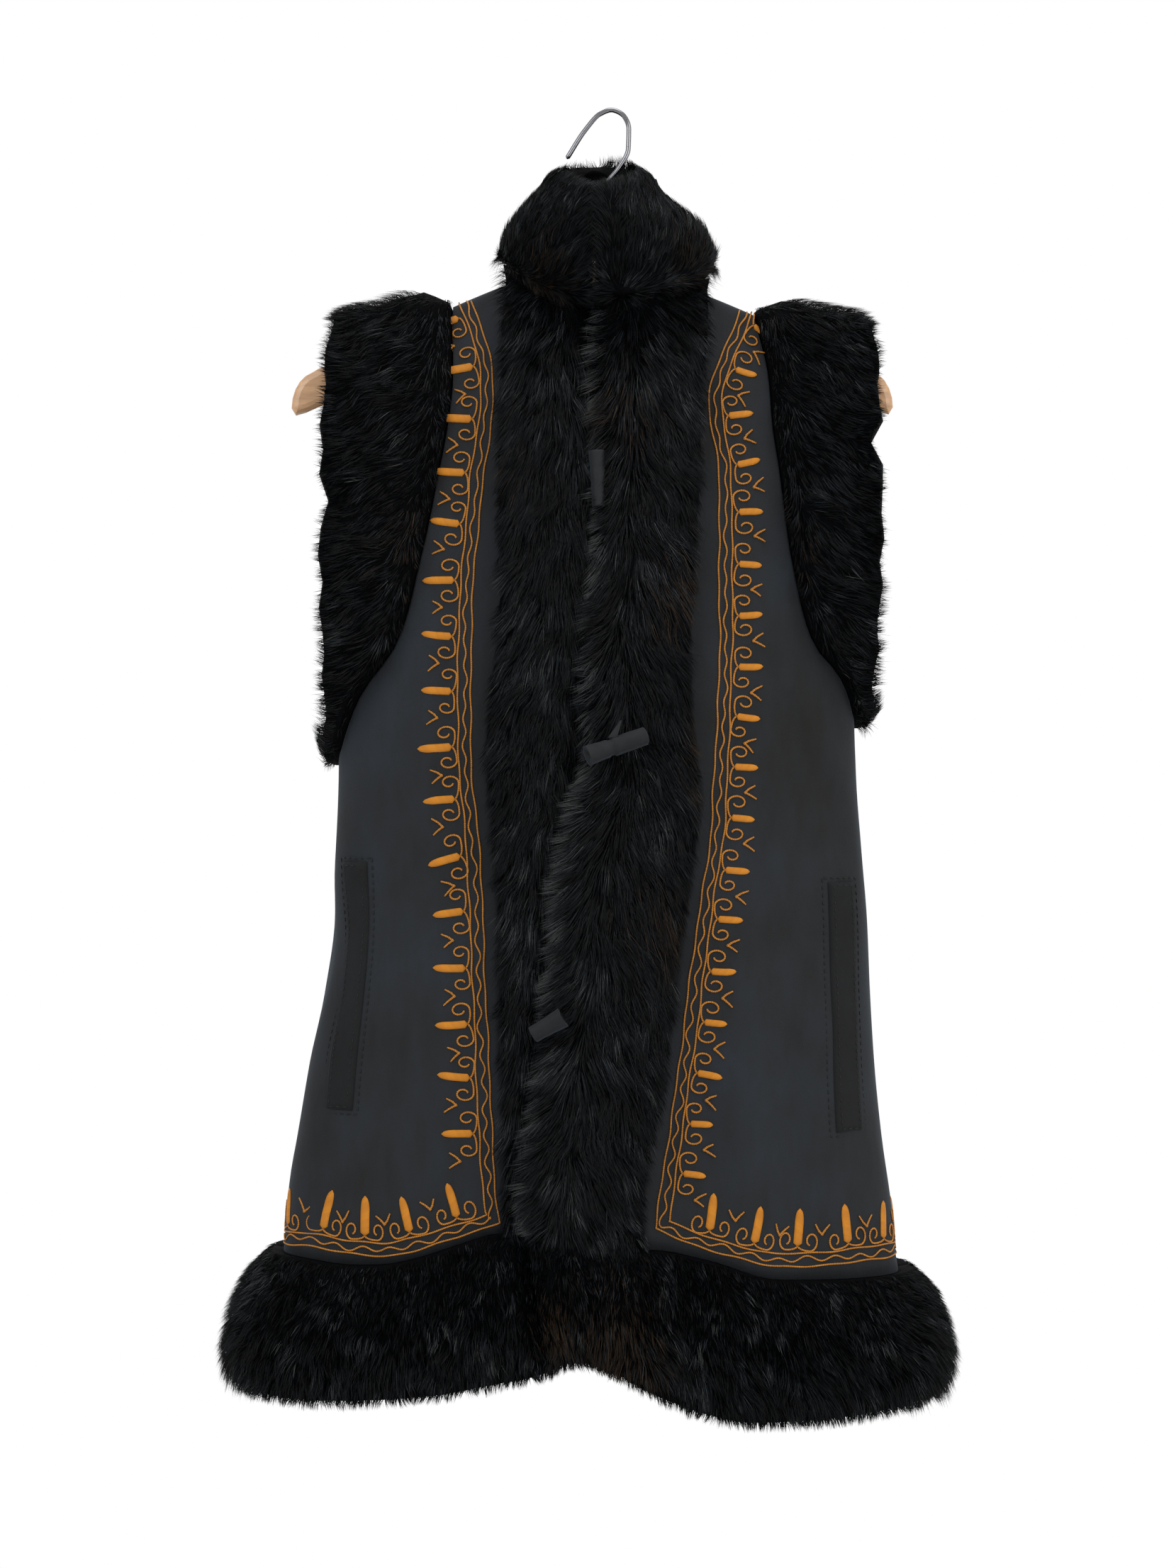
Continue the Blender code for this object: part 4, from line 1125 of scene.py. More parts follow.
@dataclass
class FurPatch:
    """One piece of fur: a hide with a dense pile and combed hair rooted in it.

    The grids run from the hide's seam or top to its far end, and across it. Flow is the way that the hair
    lies, and lift is how steeply it stands, from 0 to 1.
    """

    node: str
    hide: Array
    normal: Array
    pile: Array
    flow: Array
    lift: Array
    weight: Array
    hairs: int
    seed: int
    ring: bool = False
    width: float = 0.46
    stretch: float = 1.0
    under: float = 0.72
    start: float = 0.45
    brown: tuple[tuple[float, float, float, float], ...] = ()
    # light raises the hairs' tint: a painted highlight where a patch gives it
    light: Array | float = 0.0
    wild: float = 0.10
    shortest: float = 4.0

    def dress(self, hide: Material, hair: Material) -> int:
        """Build the hide and its hair.

        Args:
            hide: the underfur's finish.
            hair: the hair's finish.

        Returns:
            The number of hairs.
        """
        inner = self.hide - self.normal * HIDE
        rough = 1.0 + 0.12 * drift(self.hide, 9.0, self.seed)[..., 0]
        outer = self.hide + self.normal * (self.pile * self.under * rough)[..., None]
        put_shell(self.node + "_hide", inner, outer, hide, (self.node,), self.ring)
        points, groups, own = self.comb()
        put_mesh(self.node + "_hair", points, groups, hair, (), None, own)
        return self.hairs

    def comb(self) -> tuple[Array, list[Array], Array]:
        """Work out every hair as a ribbon of one quad and one triangle that bends from root to tip.

        Returns:
            Points, faces and places on the hair's map. A hair leaves its root more steeply than it lies,
            its tip is drawn to the tip of its lock, and its width falls to nothing.
        """
        rng = np.random.default_rng(self.seed)
        row, column = self.scatter(rng, self.hairs)
        root, middle, tip, normal, chance = self.lay(rng, row, column)
        lock_row, lock_column = self.scatter(rng, max(self.hairs // 42, 8))
        lock_root, lock_middle, lock_tip, _, lock_chance = self.lay(rng, lock_row, lock_column)
        near = self.nearest(root, lock_root)
        pull = rng.uniform(0.1, 0.5, len(root))[:, None]
        tip = blend(tip, lock_tip[near], pull)
        middle = blend(middle, blend(middle, lock_middle[near], 0.5), pull)
        # The patch's painted highlight and a slow random drift lift the tint; the highest tints are the pale,
        # painted highlight hairs
        light = sample(self.looped(self.light + 0 * self.pile), row, column)
        light = light + 0.12 * drift(root, 55.0, self.seed + 3)[:, 1]
        tint = 0.5 * chance + 0.4 * lock_chance[near] + light
        tint = np.where(self.in_brown(root, rng), 0.95, np.clip(tint, 0.0, 0.84))
        ahead = unit(tip - root)
        aside = unit(np.cross(ahead, normal) + 0.75 * rng.normal(size=ahead.shape))
        aside = unit(flattened(aside, ahead))
        half = 0.5 * self.width * rng.uniform(0.6, 1.35, len(root))[:, None] * aside
        points = np.stack([root - half, root + half, middle + 0.8 * half, middle - 0.8 * half, tip], axis=1)
        base = np.arange(len(root))[:, None] * 5
        quads, ends = base + [0, 1, 2, 3], base + [3, 2, 4]
        thin = 0.002
        across = np.stack([tint - thin, tint + thin, tint + thin, tint - thin, tint], axis=1)
        along = np.broadcast_to(np.array([0.02, 0.02, 0.5, 0.5, 0.98]), across.shape)
        own = np.stack([across, along], axis=-1)
        spots = np.concatenate([own[:, [0, 1, 2, 3]].reshape(-1, 2), own[:, [3, 2, 4]].reshape(-1, 2)])
        return points.reshape(-1, 3), [quads, ends], spots

    def scatter(self, rng: Chance, count: int) -> tuple[Array, Array]:
        """Return the rows and columns of roots scattered evenly, and closer where the weight is more.

        Args:
            rng: the source of chance.
            count: how many.

        Returns:
            Rows and columns, with their fractions.
        """
        grid = self.looped(self.hide)
        down = np.linalg.norm(np.diff(grid, axis=0), axis=-1)
        across = np.linalg.norm(np.diff(grid, axis=1), axis=-1)
        weight = self.looped(self.weight)
        area = (down[:, :-1] + down[:, 1:]) * (across[:-1] + across[1:])
        area = (area * (weight[:-1, :-1] + weight[1:, 1:])).reshape(-1)
        cell = rng.choice(len(area), size=count, p=area / area.sum())
        wide = grid.shape[1] - 1
        return cell // wide + rng.random(count), cell % wide + rng.random(count)

    def looped(self, grid: Array) -> Array:
        """Return a grid, with its first column again after its last one on a ring."""
        return np.concatenate([grid, grid[:, :1]], axis=1) if self.ring else grid

    def lay(self, rng: Chance, row: Array, column: Array) -> tuple[Array, ...]:
        """Lay hairs from their roots.

        Args:
            rng: the source of chance.
            row: each root's row.
            column: each root's column.

        Returns:
            Roots, middles, tips, the hide's normals and a chance number for each hair.
        """
        grids = (self.hide, self.normal, self.pile, self.flow, self.lift)
        hide, normal, pile, flow, lift = (sample(self.looped(grid), row, column) for grid in grids)
        normal = unit(normal)
        root = hide + normal * (pile * self.start)[:, None]
        swirl = drift(hide, 34.0, self.seed + 1) * 0.34 + drift(hide, 11.0, self.seed + 2) * 0.16
        swirl = swirl + rng.normal(size=hide.shape) * 0.12
        lying = unit(flow + flattened(swirl, normal))
        apart = rng.random(len(lift))
        lift = np.where(apart < self.wild, lift + 0.35 * rng.random(len(lift)), lift)
        lift = np.clip(lift * rng.uniform(0.8, 1.2, len(lift)), 0.1, 0.95)
        length = self.stretch * pile * (1.05 - self.start) / np.maximum(lift, 0.28)
        length = length * rng.uniform(0.75, 1.1, len(lift))
        length = np.clip(length, self.shortest, 26.0)
        steep = unit(normal * (lift + 0.3)[:, None] + lying * (1 - lift)[:, None])
        mean = unit(normal * lift[:, None] + lying * (1.15 - lift)[:, None])
        middle = root + steep * (0.5 * length)[:, None]
        tip = root + mean * length[:, None]
        return root, middle, tip, normal, rng.random(len(row))

    def nearest(self, roots: Array, centres: Array) -> Array:
        """Return the nearest centre to each root, by the least squared distance."""
        found = []
        squares = np.sum(centres**2, axis=1)
        for part in np.array_split(roots, max(len(roots) // 4000, 1)):
            found.append(np.argmin(squares[None] - 2 * part @ centres.T, axis=1))
        return np.concatenate(found)

    def in_brown(self, root: Array, rng: Chance) -> Array:
        """Return which hairs are brown: more of them the nearer they are to the middle of a brown patch."""
        chance = np.zeros(len(root))
        for x, z, wide, share in self.brown:
            away = ((root[:, 0] - x) ** 2 + ((root[:, 2] - z) / 1.6) ** 2) / wide**2
            chance = np.maximum(chance, share * np.exp(-away))
        return rng.random(len(root)) < chance


def grid_ways(hide: Array) -> tuple[Array, Array]:
    """Return the ways down the rows and across the columns of a grid of points."""
    return unit(np.gradient(hide, axis=0)), unit(np.gradient(hide, axis=1))


@dataclass
class FurTrim:
    """All the fur: two front bands, three stretches of hem, the collar and two armhole trims."""

    band_hairs: dict[str, int] = field(default_factory=lambda: {"left": 30000, "right": 41000})
    hem_hairs: dict[str, int] = field(default_factory=lambda: {"left": 24000, "right": 31000, "back": 30000})
    trim_hairs: dict[str, int] = field(default_factory=lambda: {"left": 27000, "right": 27000})
    collar_hairs: int = 42000

    def band(self, side: str) -> FurPatch:
        """Return a front's band: hair combed down, and over its free edge and its seam.

        Args:
            side: left or right.

        Returns:
            The patch.
        """
        over = side == "right"
        angle, height = band_grid(side, 1)
        hide, normal = on_cloth(angle, height, over)
        down, across = grid_ways(hide)
        share = BAND_SHARES[side][None, :] + 0 * height
        if over:
            turn = blend(-2.6, 0.5, ease(share / 0.5) ** 0.5)
            brown = (
                (16.0, -205.0, 14.0, 0.2), (50.0, -330.0, 16.0, 0.35), (40.0, -560.0, 18.0, 0.25),
                (62.0, -436.0, 9.0, 0.75), (60.0, -470.0, 7.0, 0.5),
            )
        else:
            turn = blend(-0.1, 0.55, ease(share))
            brown = ((-60.0, -250.0, 12.0, 0.1),)
        flow = unit(down + across * turn[..., None])
        at_seam = ease((share - 0.75) / 0.25)
        at_neck = bell(height, height[:1], 26.0)
        lift = blend(blend(0.32, 0.5, at_seam), 0.6, at_neck)
        weight = np.where(share < -0.15, 0.05, 1.0)
        pile = band_pile(side, angle, height) + 6.0 * at_neck * (share > -0.05)
        # Painted highlight: pale hairs in a stripe along the right band's free edge, where it catches the light
        light = 0.55 * bell(share, 0.06, 0.06) * over
        return FurPatch(
            f"fur_front_{side}", hide, normal, pile, flow, lift, weight, self.band_hairs[side], 11 + over,
            brown=brown, light=light,
        )

    def hem(
        self, name: str, top_angle: Array, top_height: Array, side: str, face: str, seed: int
    ) -> FurPatch:
        """Return a stretch of the hem's fur, combed down from a row of seam points.

        Args:
            name: the node's name.
            top_angle: the seam points' angles.
            top_height: their heights.
            side: left, right or back.
            face: front or back, for the tables.
            seed: where its chance starts.

        Returns:
            The patch. Its reach down is read from the table, and its pile grows and falls on the way.
        """
        over = side == "right"
        down = finer(HEM_ROWS, 2)[:, None]
        x = x_at(top_angle, top_height)
        height = blend(top_height[None, :] - SEAM_GAP, read(FUR_REACH, face, x)[None, :] + 6.0, down)
        angle = top_angle[None, :] + 0 * height
        if face == "front":
            shares = BAND_SHARES[side]
            band = height[:, : len(shares)]
            angle[:, : len(shares)] = angle_at(band_x(side, band, shares[None, :] + 0 * band), band)
        hide, normal = on_cloth(angle, height, over)
        turned = ease(np.abs(np.sin(angle)) ** 6)
        pile = HEM_PILE * (0.8 + 0.22 * turned) * read(HEM_PROFILE, "share", down) * (1 + 0.07 * lumps(hide))
        if face == "front":
            from_edge = from_free_edge(side, angle, height) / (22.0 if side == "left" else 16.0)
            low = np.minimum(PRESSED_PILE, pile)
            pile = low + (pile - low) * ease(from_edge) ** 0.6
        way_down, way_across = grid_ways(hide)
        turn = 0.25 * np.sin(angle) * (1 if face == "front" else -1)
        flow = unit(way_down + way_across * turn[..., None])
        lift = blend(0.68, 0.4, ease((down - 0.4) / 0.5)) + 0 * height
        weight = blend(1.0, 1.8, ease((down - 0.6) / 0.3)) + 0 * height
        brown = ((10.0, -850.0, 24.0, 0.5), (-30.0, -835.0, 12.0, 0.7)) if face == "front" else ()
        hairs = self.hem_hairs[side]
        return FurPatch(
            name, hide, normal, pile, flow, lift, weight, hairs, seed, brown=brown, width=0.5, under=0.76,
            start=0.6, wild=0.3, shortest=9.0,
        )

    def hems(self) -> list[FurPatch]:
        """Return the two front stretches of the hem and the back one."""
        found = []
        for side in SIDES:
            band_angle, band_height = band_grid(side, 1)
            panel_angle, panel_height = panel_grid(side, 1, FRONT_COLUMNS)
            angle = np.concatenate([band_angle[-1], panel_angle[-1, 1:]])
            height = np.concatenate([band_height[-1], panel_height[-1, 1:]])
            found.append(self.hem(f"fur_hem_front_{side}", angle, height, side, "front", 21 + len(found)))
        angle, height = back_grid(1, NECK_COLUMNS, SHOULDER_COLUMNS)
        found.append(self.hem("fur_hem_back", angle[-1], height[-1], "back", "back", 25))
        return found

    def collar(self) -> FurPatch:
        """Return the standing collar.

        Returns:
            A patch whose rows rise from the neck's seam. Each ring is an oval round the neck with its own
            reach to the four sides and its own height, and its hair sweeps up and outward.
        """
        right_angle, right_height = (grid[0] for grid in band_grid("right", 1))
        left_angle, left_height = (grid[0][HIDDEN_COLUMNS:] for grid in band_grid("left", 1))
        neck = slice(SHOULDER_COLUMNS - 1, SHOULDER_COLUMNS - 1 + NECK_COLUMNS)
        back_angle, back_height = (grid[0, neck] for grid in back_grid(1, NECK_COLUMNS, SHOULDER_COLUMNS))
        angle = np.concatenate([right_angle[:-1], back_angle, 2 * math.pi + left_angle[::-1][1:]])
        height = np.concatenate([right_height[:-1], back_height, left_height[::-1][1:]])
        seam, normal = on_cloth(angle, height)
        offset = (seam[:, 0] - MIDDLE_X) / np.where(seam[:, 0] > MIDDLE_X, 76.0, 58.0)
        turn = np.arcsin(np.clip(offset, -1, 1))
        place = np.arange(len(turn)) - (len(right_angle) - 1)
        behind = (place >= 0) & (place < len(back_angle))
        turn = np.where(behind, math.pi - turn, np.where(turn < 0, turn + 2 * math.pi, turn))
        turn[0], turn[-1] = 0.02, 2 * math.pi - 0.02
        sine, cosine = np.sin(turn), np.cos(turn)
        steps = np.linspace(1, 5, 13)
        rings = []
        for step in steps:
            ring = {name: read(COLLAR, name, step) for name in COLLAR if name != "ring"}
            x = np.where(sine > 0, ring["right"], -ring["left"]) * sine + MIDDLE_X * (1 - np.abs(sine))
            y = -np.where(cosine > 0, ring["front"], ring["back"]) * cosine
            end = np.where(cosine > 0, ring["front_height"], ring["back_height"])
            rings.append(np.stack([x, y, blend(ring["side_height"], end, cosine**2)], axis=-1))
        to_neck = np.array([MIDDLE_X, 0, 60.0]) - seam * [1, 1, 0]
        gap = COLLAR_GAP + bell(np.abs(offset), 0.93, 0.08)[:, None]
        start = seam + gap * unit(flattened(to_neck, normal))
        hide = np.stack([start, blend(start, rings[0], 0.35), blend(start, rings[0], 0.7), *rings])
        rise = np.concatenate([[0, 0.35, 0.7], steps])
        up, around = grid_ways(hide)
        outward = unit(np.cross(around, up))
        outward = unit(blend(normal[None], outward, ease(rise / 1.5)[:, None, None]))
        full = read(COLLAR, "pile", rise) + 4.0 * bell(rise, 1.0, 1.0) + 6.0 * ease((rise - 3.2) / 1.2)
        pile = blend(22.0, full, np.clip(rise, 0, 1))[:, None] * (1 + 0.1 * lumps(hide))
        ends = np.minimum(np.arange(len(turn)), np.arange(len(turn))[::-1])
        pile = pile * blend(0.8, 1.0, ease(ends / 4.0))
        sweep = np.where(place < 0, 0.5, np.where(place < len(back_angle), 0.1, 0.35))
        count = np.arange(len(turn))
        sweep = blend(-1.5, sweep, ease(count / 6.0))
        sweep = blend(1.5, sweep, ease(count[::-1] / 6.0))[None, :, None]
        at_rim = ease((rise - 3.8) / 1.0)[:, None, None]
        inward = unit(np.array([MIDDLE_X, 0.0, 0.0]) - hide * [1, 1, 0]) * at_rim * 1.1
        flow = unit(up * blend(-0.6, 1.0, ease(rise / 1.6))[:, None, None] + around * sweep + inward)
        lift = blend(0.4, 0.5, ease((rise - 3.5) / 1.5)) + 0.2 * bell(rise, 0.0, 0.7)
        lift = lift[:, None] + 0 * pile
        brown = ((-40.0, -120.0, 14.0, 0.3), (60.0, -110.0, 14.0, 0.2))
        weight = (blend(1.7, 1.0, ease(rise / 1.2)) + 1.2 * ease((rise - 3.8) / 1.0))[:, None] + 0 * pile
        return FurPatch(
            "fur_collar", hide, outward, pile, flow, lift, weight, self.collar_hairs, 31, brown=brown,
            under=0.82, start=0.55, wild=0.2, stretch=0.75,
        )

    def trim(self, side: str, times: int = 2) -> FurPatch:
        """Return an armhole's trim.

        Args:
            side: left or right.
            times: how many points round to make of each one in the tables.

        Returns:
            A ring that runs from the armhole's seam out to an upright oval rim, its hair combed outward.
        """
        panel_angle, panel_height = panel_grid(side, times, FRONT_COLUMNS)
        back_angle, back_height = back_grid(times, NECK_COLUMNS, SHOULDER_COLUMNS)
        above = finer(ROWS_ABOVE, times)
        last = len(above)
        column = 0 if side == "right" else -1
        behind_angle = back_angle[1 : last - 1, column][::-1] - (0 if side == "right" else 2 * math.pi)
        angle = np.concatenate([panel_angle[:last, -1], behind_angle])
        height = np.concatenate([panel_height[:last, -1], back_height[1 : last - 1, column][::-1]])
        seam, normal = on_cloth(angle, height)
        seam[0, 1] = 0.0
        normal[last - 1] = (SIGN[side], 0, 0)
        rim = TRIM_RIM[side]
        down = np.concatenate([above, above[1:-1][::-1]])
        facing = np.concatenate([-np.ones(last), np.ones(last - 2)])
        bulge = np.sin(np.arccos(1 - 2 * down))
        x = blend(blend(rim["x_top"], rim["x_low"], down), rim["x_mid"], bulge)
        rim_height = blend(rim["top"], rim["low"], down)
        beside = bell(rim_height, TRIM_NOTCH[side], 6.0)
        x = x - SIGN[side] * (8.0 * beside + 1.6 * np.sin(41.0 * down + 1.0) - 1.0)
        end = np.stack([x, facing * rim["deep"] * bulge**0.8, rim_height], axis=-1)
        way = unit(end - seam)
        flat_way = unit(flattened(way, normal))
        corner = bell(down, 0.94, 0.05) * (facing > 0)
        start = seam + (TRIM_GAP + 1.2 * corner)[:, None] * flat_way
        shares = np.linspace(0, 1, 11)
        hide = blend(start[None], end[None], shares[:, None, None])
        looped = np.concatenate([hide[:, -1:], hide, hide[:, :1]], axis=1)
        around = unit(looped[:, 2:] - looped[:, :-2])
        along = unit(np.gradient(hide, axis=0))
        outward = unit(np.cross(along, around))
        middle = np.array([SIGN[side] * 130.0, 0, -300.0])
        outward = outward * np.sign(np.sum(outward[6] * (hide[6] - middle), axis=-1))[None, :, None]
        outward = unit(blend(normal[None], outward, ease(shares / 0.3)[:, None, None]))
        notch = 1 - 0.35 * bell(hide[..., 2], TRIM_NOTCH[side], 9.0)
        narrow = blend(0.62, 1.0, ease((1 - down) / 0.25))[None, :]
        swell = read(TRIM_SWELL, "pile", shares)[:, None]
        pile = TRIM_PILE * swell * (1 + 0.12 * lumps(hide)) * notch * narrow
        pile = np.maximum(pile, 3.0)
        fall = flattened(np.array([0, 0, -1.0]) + 0 * hide, outward)
        at_rim = ease((shares - 0.7) / 0.25)
        reach = (blend(-0.3, 0.8, ease(shares / 0.3)) + 0.9 * at_rim)[:, None, None]
        flow = unit(along * reach + fall * (0.6 - 0.3 * at_rim)[:, None, None])
        lift = blend(0.42, 0.5, at_rim)[:, None] + 0 * pile
        weight = blend(1.0, 2.0, at_rim)[:, None] + 0 * pile
        brown = ((SIGN[side] * 125.0, -300.0, 16.0, 0.25),)
        return FurPatch(
            f"fur_armhole_{side}", hide, outward, pile, flow, lift, weight, self.trim_hairs[side],
            41 + (side == "right"), ring=True, brown=brown, under=0.78, start=0.5, wild=0.25,
        )

    def build(self, hide: Material, hair: Material) -> None:
        """Dress every fur node.

        Args:
            hide: the underfur's finish.
            hair: the hair's finish.
        """
        patches = [self.collar(), *self.hems()]
        for side in SIDES:
            patches += [self.band(side), self.trim(side)]
        for patch in patches:
            LOG.info("%s with %d hairs", patch.node, patch.dress(hide, hair))


# The suede

CREASES = columns(
    "face x_top top x_bottom bottom width size",
    (1, -112, -300, -150, -380, 6, -0.9), (1, -100, -345, -160, -430, 7, 0.9),
    (1, -150, -470, -182, -560, 7, -1.1), (1, -160, -560, -196, -640, 8, 1.0),
    (1, -110, -430, -128, -520, 7, 0.8), (1, -125, -640, -150, -720, 8, -0.9),
    (1, -185, -640, -200, -790, 8, 1.2), (1, 112, -290, 150, -370, 6, -0.9),
    (1, 104, -350, 158, -450, 7, 0.9), (1, 150, -450, 176, -540, 7, -1.0),
    (1, 110, -480, 126, -560, 7, 0.8), (1, 160, -600, 180, -740, 9, 1.2), (1, 70, -640, 84, -760, 8, -0.8),
    (-1, -30, -200, -60, -380, 9, -1.0), (-1, 60, -180, 100, -360, 9, 1.0),
    (-1, -100, -300, -120, -520, 10, 1.2), (-1, 0, -420, 6, -780, 12, 1.1),
    (-1, 90, -480, 100, -700, 9, -1.1), (-1, -60, -560, -70, -790, 10, -1.0),
)


@dataclass
class SuedeBody:
    """The vest's three suede panels: the back and the two fronts."""

    thickness: float = 1.7
    rows_times: int = 3
    front_columns: int = 45
    neck_columns: int = 41
    side_columns: int = 16
    front_cut: dict[str, tuple[float, float]] = field(
        default_factory=lambda: {"left": (0.195, 0.71), "right": (0.22, 0.71)}
    )
    front_area: dict[str, float] = field(default_factory=lambda: {"left": 0.077, "right": 0.089})
    back_cut: tuple[float, float] = (0.50, 0.72)
    back_area: float = 0.250

    def shell(
        self, node: str, grid: tuple[Array, Array], over: bool, material: Material
    ) -> bpy.types.Object:
        """Build one panel.

        Args:
            node: the solid that it replaces.
            grid: the angles and heights of its points.
            over: whether it is the right front's.
            material: its finish.

        Returns:
            The panel: the cloth's surface with small creases, and a second one a wall's thickness inside it.
        """
        angle, height = grid
        points, normals = on_cloth(angle, height, over)
        face = np.sign(np.cos(angle))
        push = fold_push(points[..., 0], height, face, CREASES) * ease(np.abs(np.cos(angle)) / 0.2)
        outer = points + normals * push[..., None]
        inner = outer - normals * self.thickness
        return put_shell(node + "_cloth", inner, outer, material, (node,))

    def build(self, material: Material) -> None:
        """Build the panels and log each one's name.

        Args:
            material: the suede.
        """
        for side in SIDES:
            grid = panel_grid(side, self.rows_times, self.front_columns)
            front = self.shell(f"suede_front_{side}", grid, side == "right", material)
            LOG.info("%s", front.name)
        grid = back_grid(self.rows_times, self.neck_columns, self.side_columns)
        back = self.shell("suede_back", grid, False, material)
        LOG.info("%s", back.name)


# The embroidery

FRONT_LINE = {
    "left": columns(
        "height x",
        (-776, -67), (-771, -68.4), (-660.5, -75.9), (-539.5, -80.9), (-437, -88.4),
        (-369, -88.5), (-270.7, -81.4), (-190.8, -73.5), (-126.5, -90.5),
    ),
    "right": columns(
        "height x",
        (-776, 37), (-771, 37.9), (-689, 50.1), (-563.7, 67.3), (-490.9, 77.1),
        (-369, 82.3), (-260.8, 82.6), (-208.4, 75.6), (-136.7, 99.4),
    ),
}
HEM_LINE = {
    "left": columns(
        "x height",
        (-222, -791), (-206.5, -788.9), (-171.2, -793), (-150.4, -793.5), (-129.3, -789.6),
        (-98.5, -779.5), (-67, -768.5),
    ),
    "right": columns(
        "x height",
        (38, -773), (60, -783), (88.7, -792), (122.9, -800), (172.3, -799), (208, -798),
    ),
}
LEAF_WIDTH = columns("length half", (16, 2.3), (23, 2.7), (27, 3.2))
BACK_LINE = columns("angle height", (90, -798), (110, -794), (180, -788), (250, -788), (270, -789))


@dataclass
class ClothMap:
    """Arc lengths round the cloth, for laying flat patterns on it at their true size."""

    heights: Array = field(default_factory=lambda: np.linspace(-840.0, -100.0, 38))
    angles: Array = field(default_factory=lambda: np.linspace(-math.pi, math.pi, 1441))
    arcs: Array = field(init=False)

    def __post_init__(self) -> None:
        """Measure each ring from the middle of the front both ways."""
        rings = cloth(self.angles[None, :], self.heights[:, None])
        steps = np.linalg.norm(np.diff(rings, axis=1), axis=-1)
        arcs = np.concatenate([np.zeros((len(rings), 1)), np.cumsum(steps, axis=1)], axis=1)
        self.arcs = arcs - arcs[:, [len(self.angles) // 2]]

    def between(self, height: Array, value: Array, to_angle: bool) -> Array:
        """Turn arcs to angles, or angles to arcs, blending the two nearest rings.

        Args:
            height: the points' heights.
            value: their arcs or angles.
            to_angle: whether the values are arcs.

        Returns:
            The angles, or the arcs.
        """
        count = len(self.heights)
        place = np.clip(np.interp(height, self.heights, np.arange(count)), 0, count - 1.001)
        row = place.astype(int)
        found = np.zeros(len(height))
        for ring in np.unique(row):
            here = row == ring
            pair = []
            for arcs in (self.arcs[ring], self.arcs[ring + 1]):
                start, end = (arcs, self.angles) if to_angle else (self.angles, arcs)
                pair.append(np.interp(value[here], start, end))
            found[here] = blend(pair[0], pair[1], place[here] - ring)
        return found

    def flat(self, x: Array, height: Array) -> Array:
        """Return flat places, arc and height, of points on the front given by x and height."""
        return np.stack([self.between(height, angle_at(x, height), False), height], axis=-1)

    def laid(self, places: Array, over: bool, out: float) -> tuple[Array, Array]:
        """Lay flat places on the cloth.

        Args:
            places: arcs and heights.
            over: whether they are on the right front.
            out: how far above the cloth they are.

        Returns:
            Points and the cloth's normals there.
        """
        arc, height = places[:, 0], places[:, 1]
        points, normal = on_cloth(self.between(height, arc, True), height, over)
        return points + normal * out, normal


def far_along(points: Array) -> Array:
    """Return how far along a line each of its points is."""
    return np.concatenate([[0], np.cumsum(np.linalg.norm(np.diff(points, axis=0), axis=1))])


def aside_of(path: Array) -> Array:
    """Return the way square to a flat path at each of its points."""
    ahead = unit(np.gradient(path, axis=0))
    return np.stack([-ahead[:, 1], ahead[:, 0]], axis=-1)


def along_line(points: Array, step: float) -> Array:
    """Return points at even steps along a line of points."""
    far = far_along(points)
    stops = np.linspace(0, far[-1], max(int(far[-1] / step), 2) + 1)
    return np.stack([np.interp(stops, far, points[:, axis]) for axis in range(points.shape[1])], axis=-1)


@dataclass
class Sewn:
    """Threads and leaves gathered into one piece."""

    points: list[Array] = field(default_factory=list)
    quads: list[Array] = field(default_factory=list)
    caps: list[Array] = field(default_factory=list)
    along: list[Array] = field(default_factory=list)
    around: list[Array] = field(default_factory=list)
    count: int = 0

    def add(self, points: Array, quads: Array, caps: Array | None, along: Array, around: Array) -> None:
        """Add one body.

        Args:
            points: its points.
            quads: its four-cornered faces.
            caps: its end faces, if it has them.
            along: how far along it each point is.
            around: how far round it each point is.
        """
        self.points.append(points)
        self.quads.append(quads + self.count)
        if caps is not None:
            self.caps.append(caps + self.count)
        self.along.append(along)
        self.around.append(around)
        self.count += len(points)

    def thread(self, path: Array, up: Array, radius: float, stitch: float, taper: bool = False) -> None:
        """Add a thread: chain stitches whose width swells once in each stitch.

        Args:
            path: points along it.
            up: the cloth's normals there.
            radius: half its width.
            stitch: a stitch's length.
            taper: whether it thins toward its end.
        """
        far = far_along(path)
        swell = 0.80 + 0.26 * np.abs(np.sin(math.pi * far / stitch))
        if taper:
            swell = swell * blend(1.0, 0.6, far / far[-1])
        points, quads, caps = tube(path, radius * swell, 6, up, 0.8)
        around = np.tile(np.arange(6) / 6.0, len(path))
        self.add(points, quads, caps, np.repeat(far, 6), around)

    def piece(self, name: str, material: Material) -> None:
        """Make the piece."""
        faces = [np.concatenate(self.quads)] + ([np.concatenate(self.caps)] if self.caps else [])
        marks = {"along": np.concatenate(self.along), "around": np.concatenate(self.around)}
        put_mesh(name, np.concatenate(self.points), faces, material, (), marks)
        LOG.info("%s with %d faces", name, sum(len(group) for group in faces))


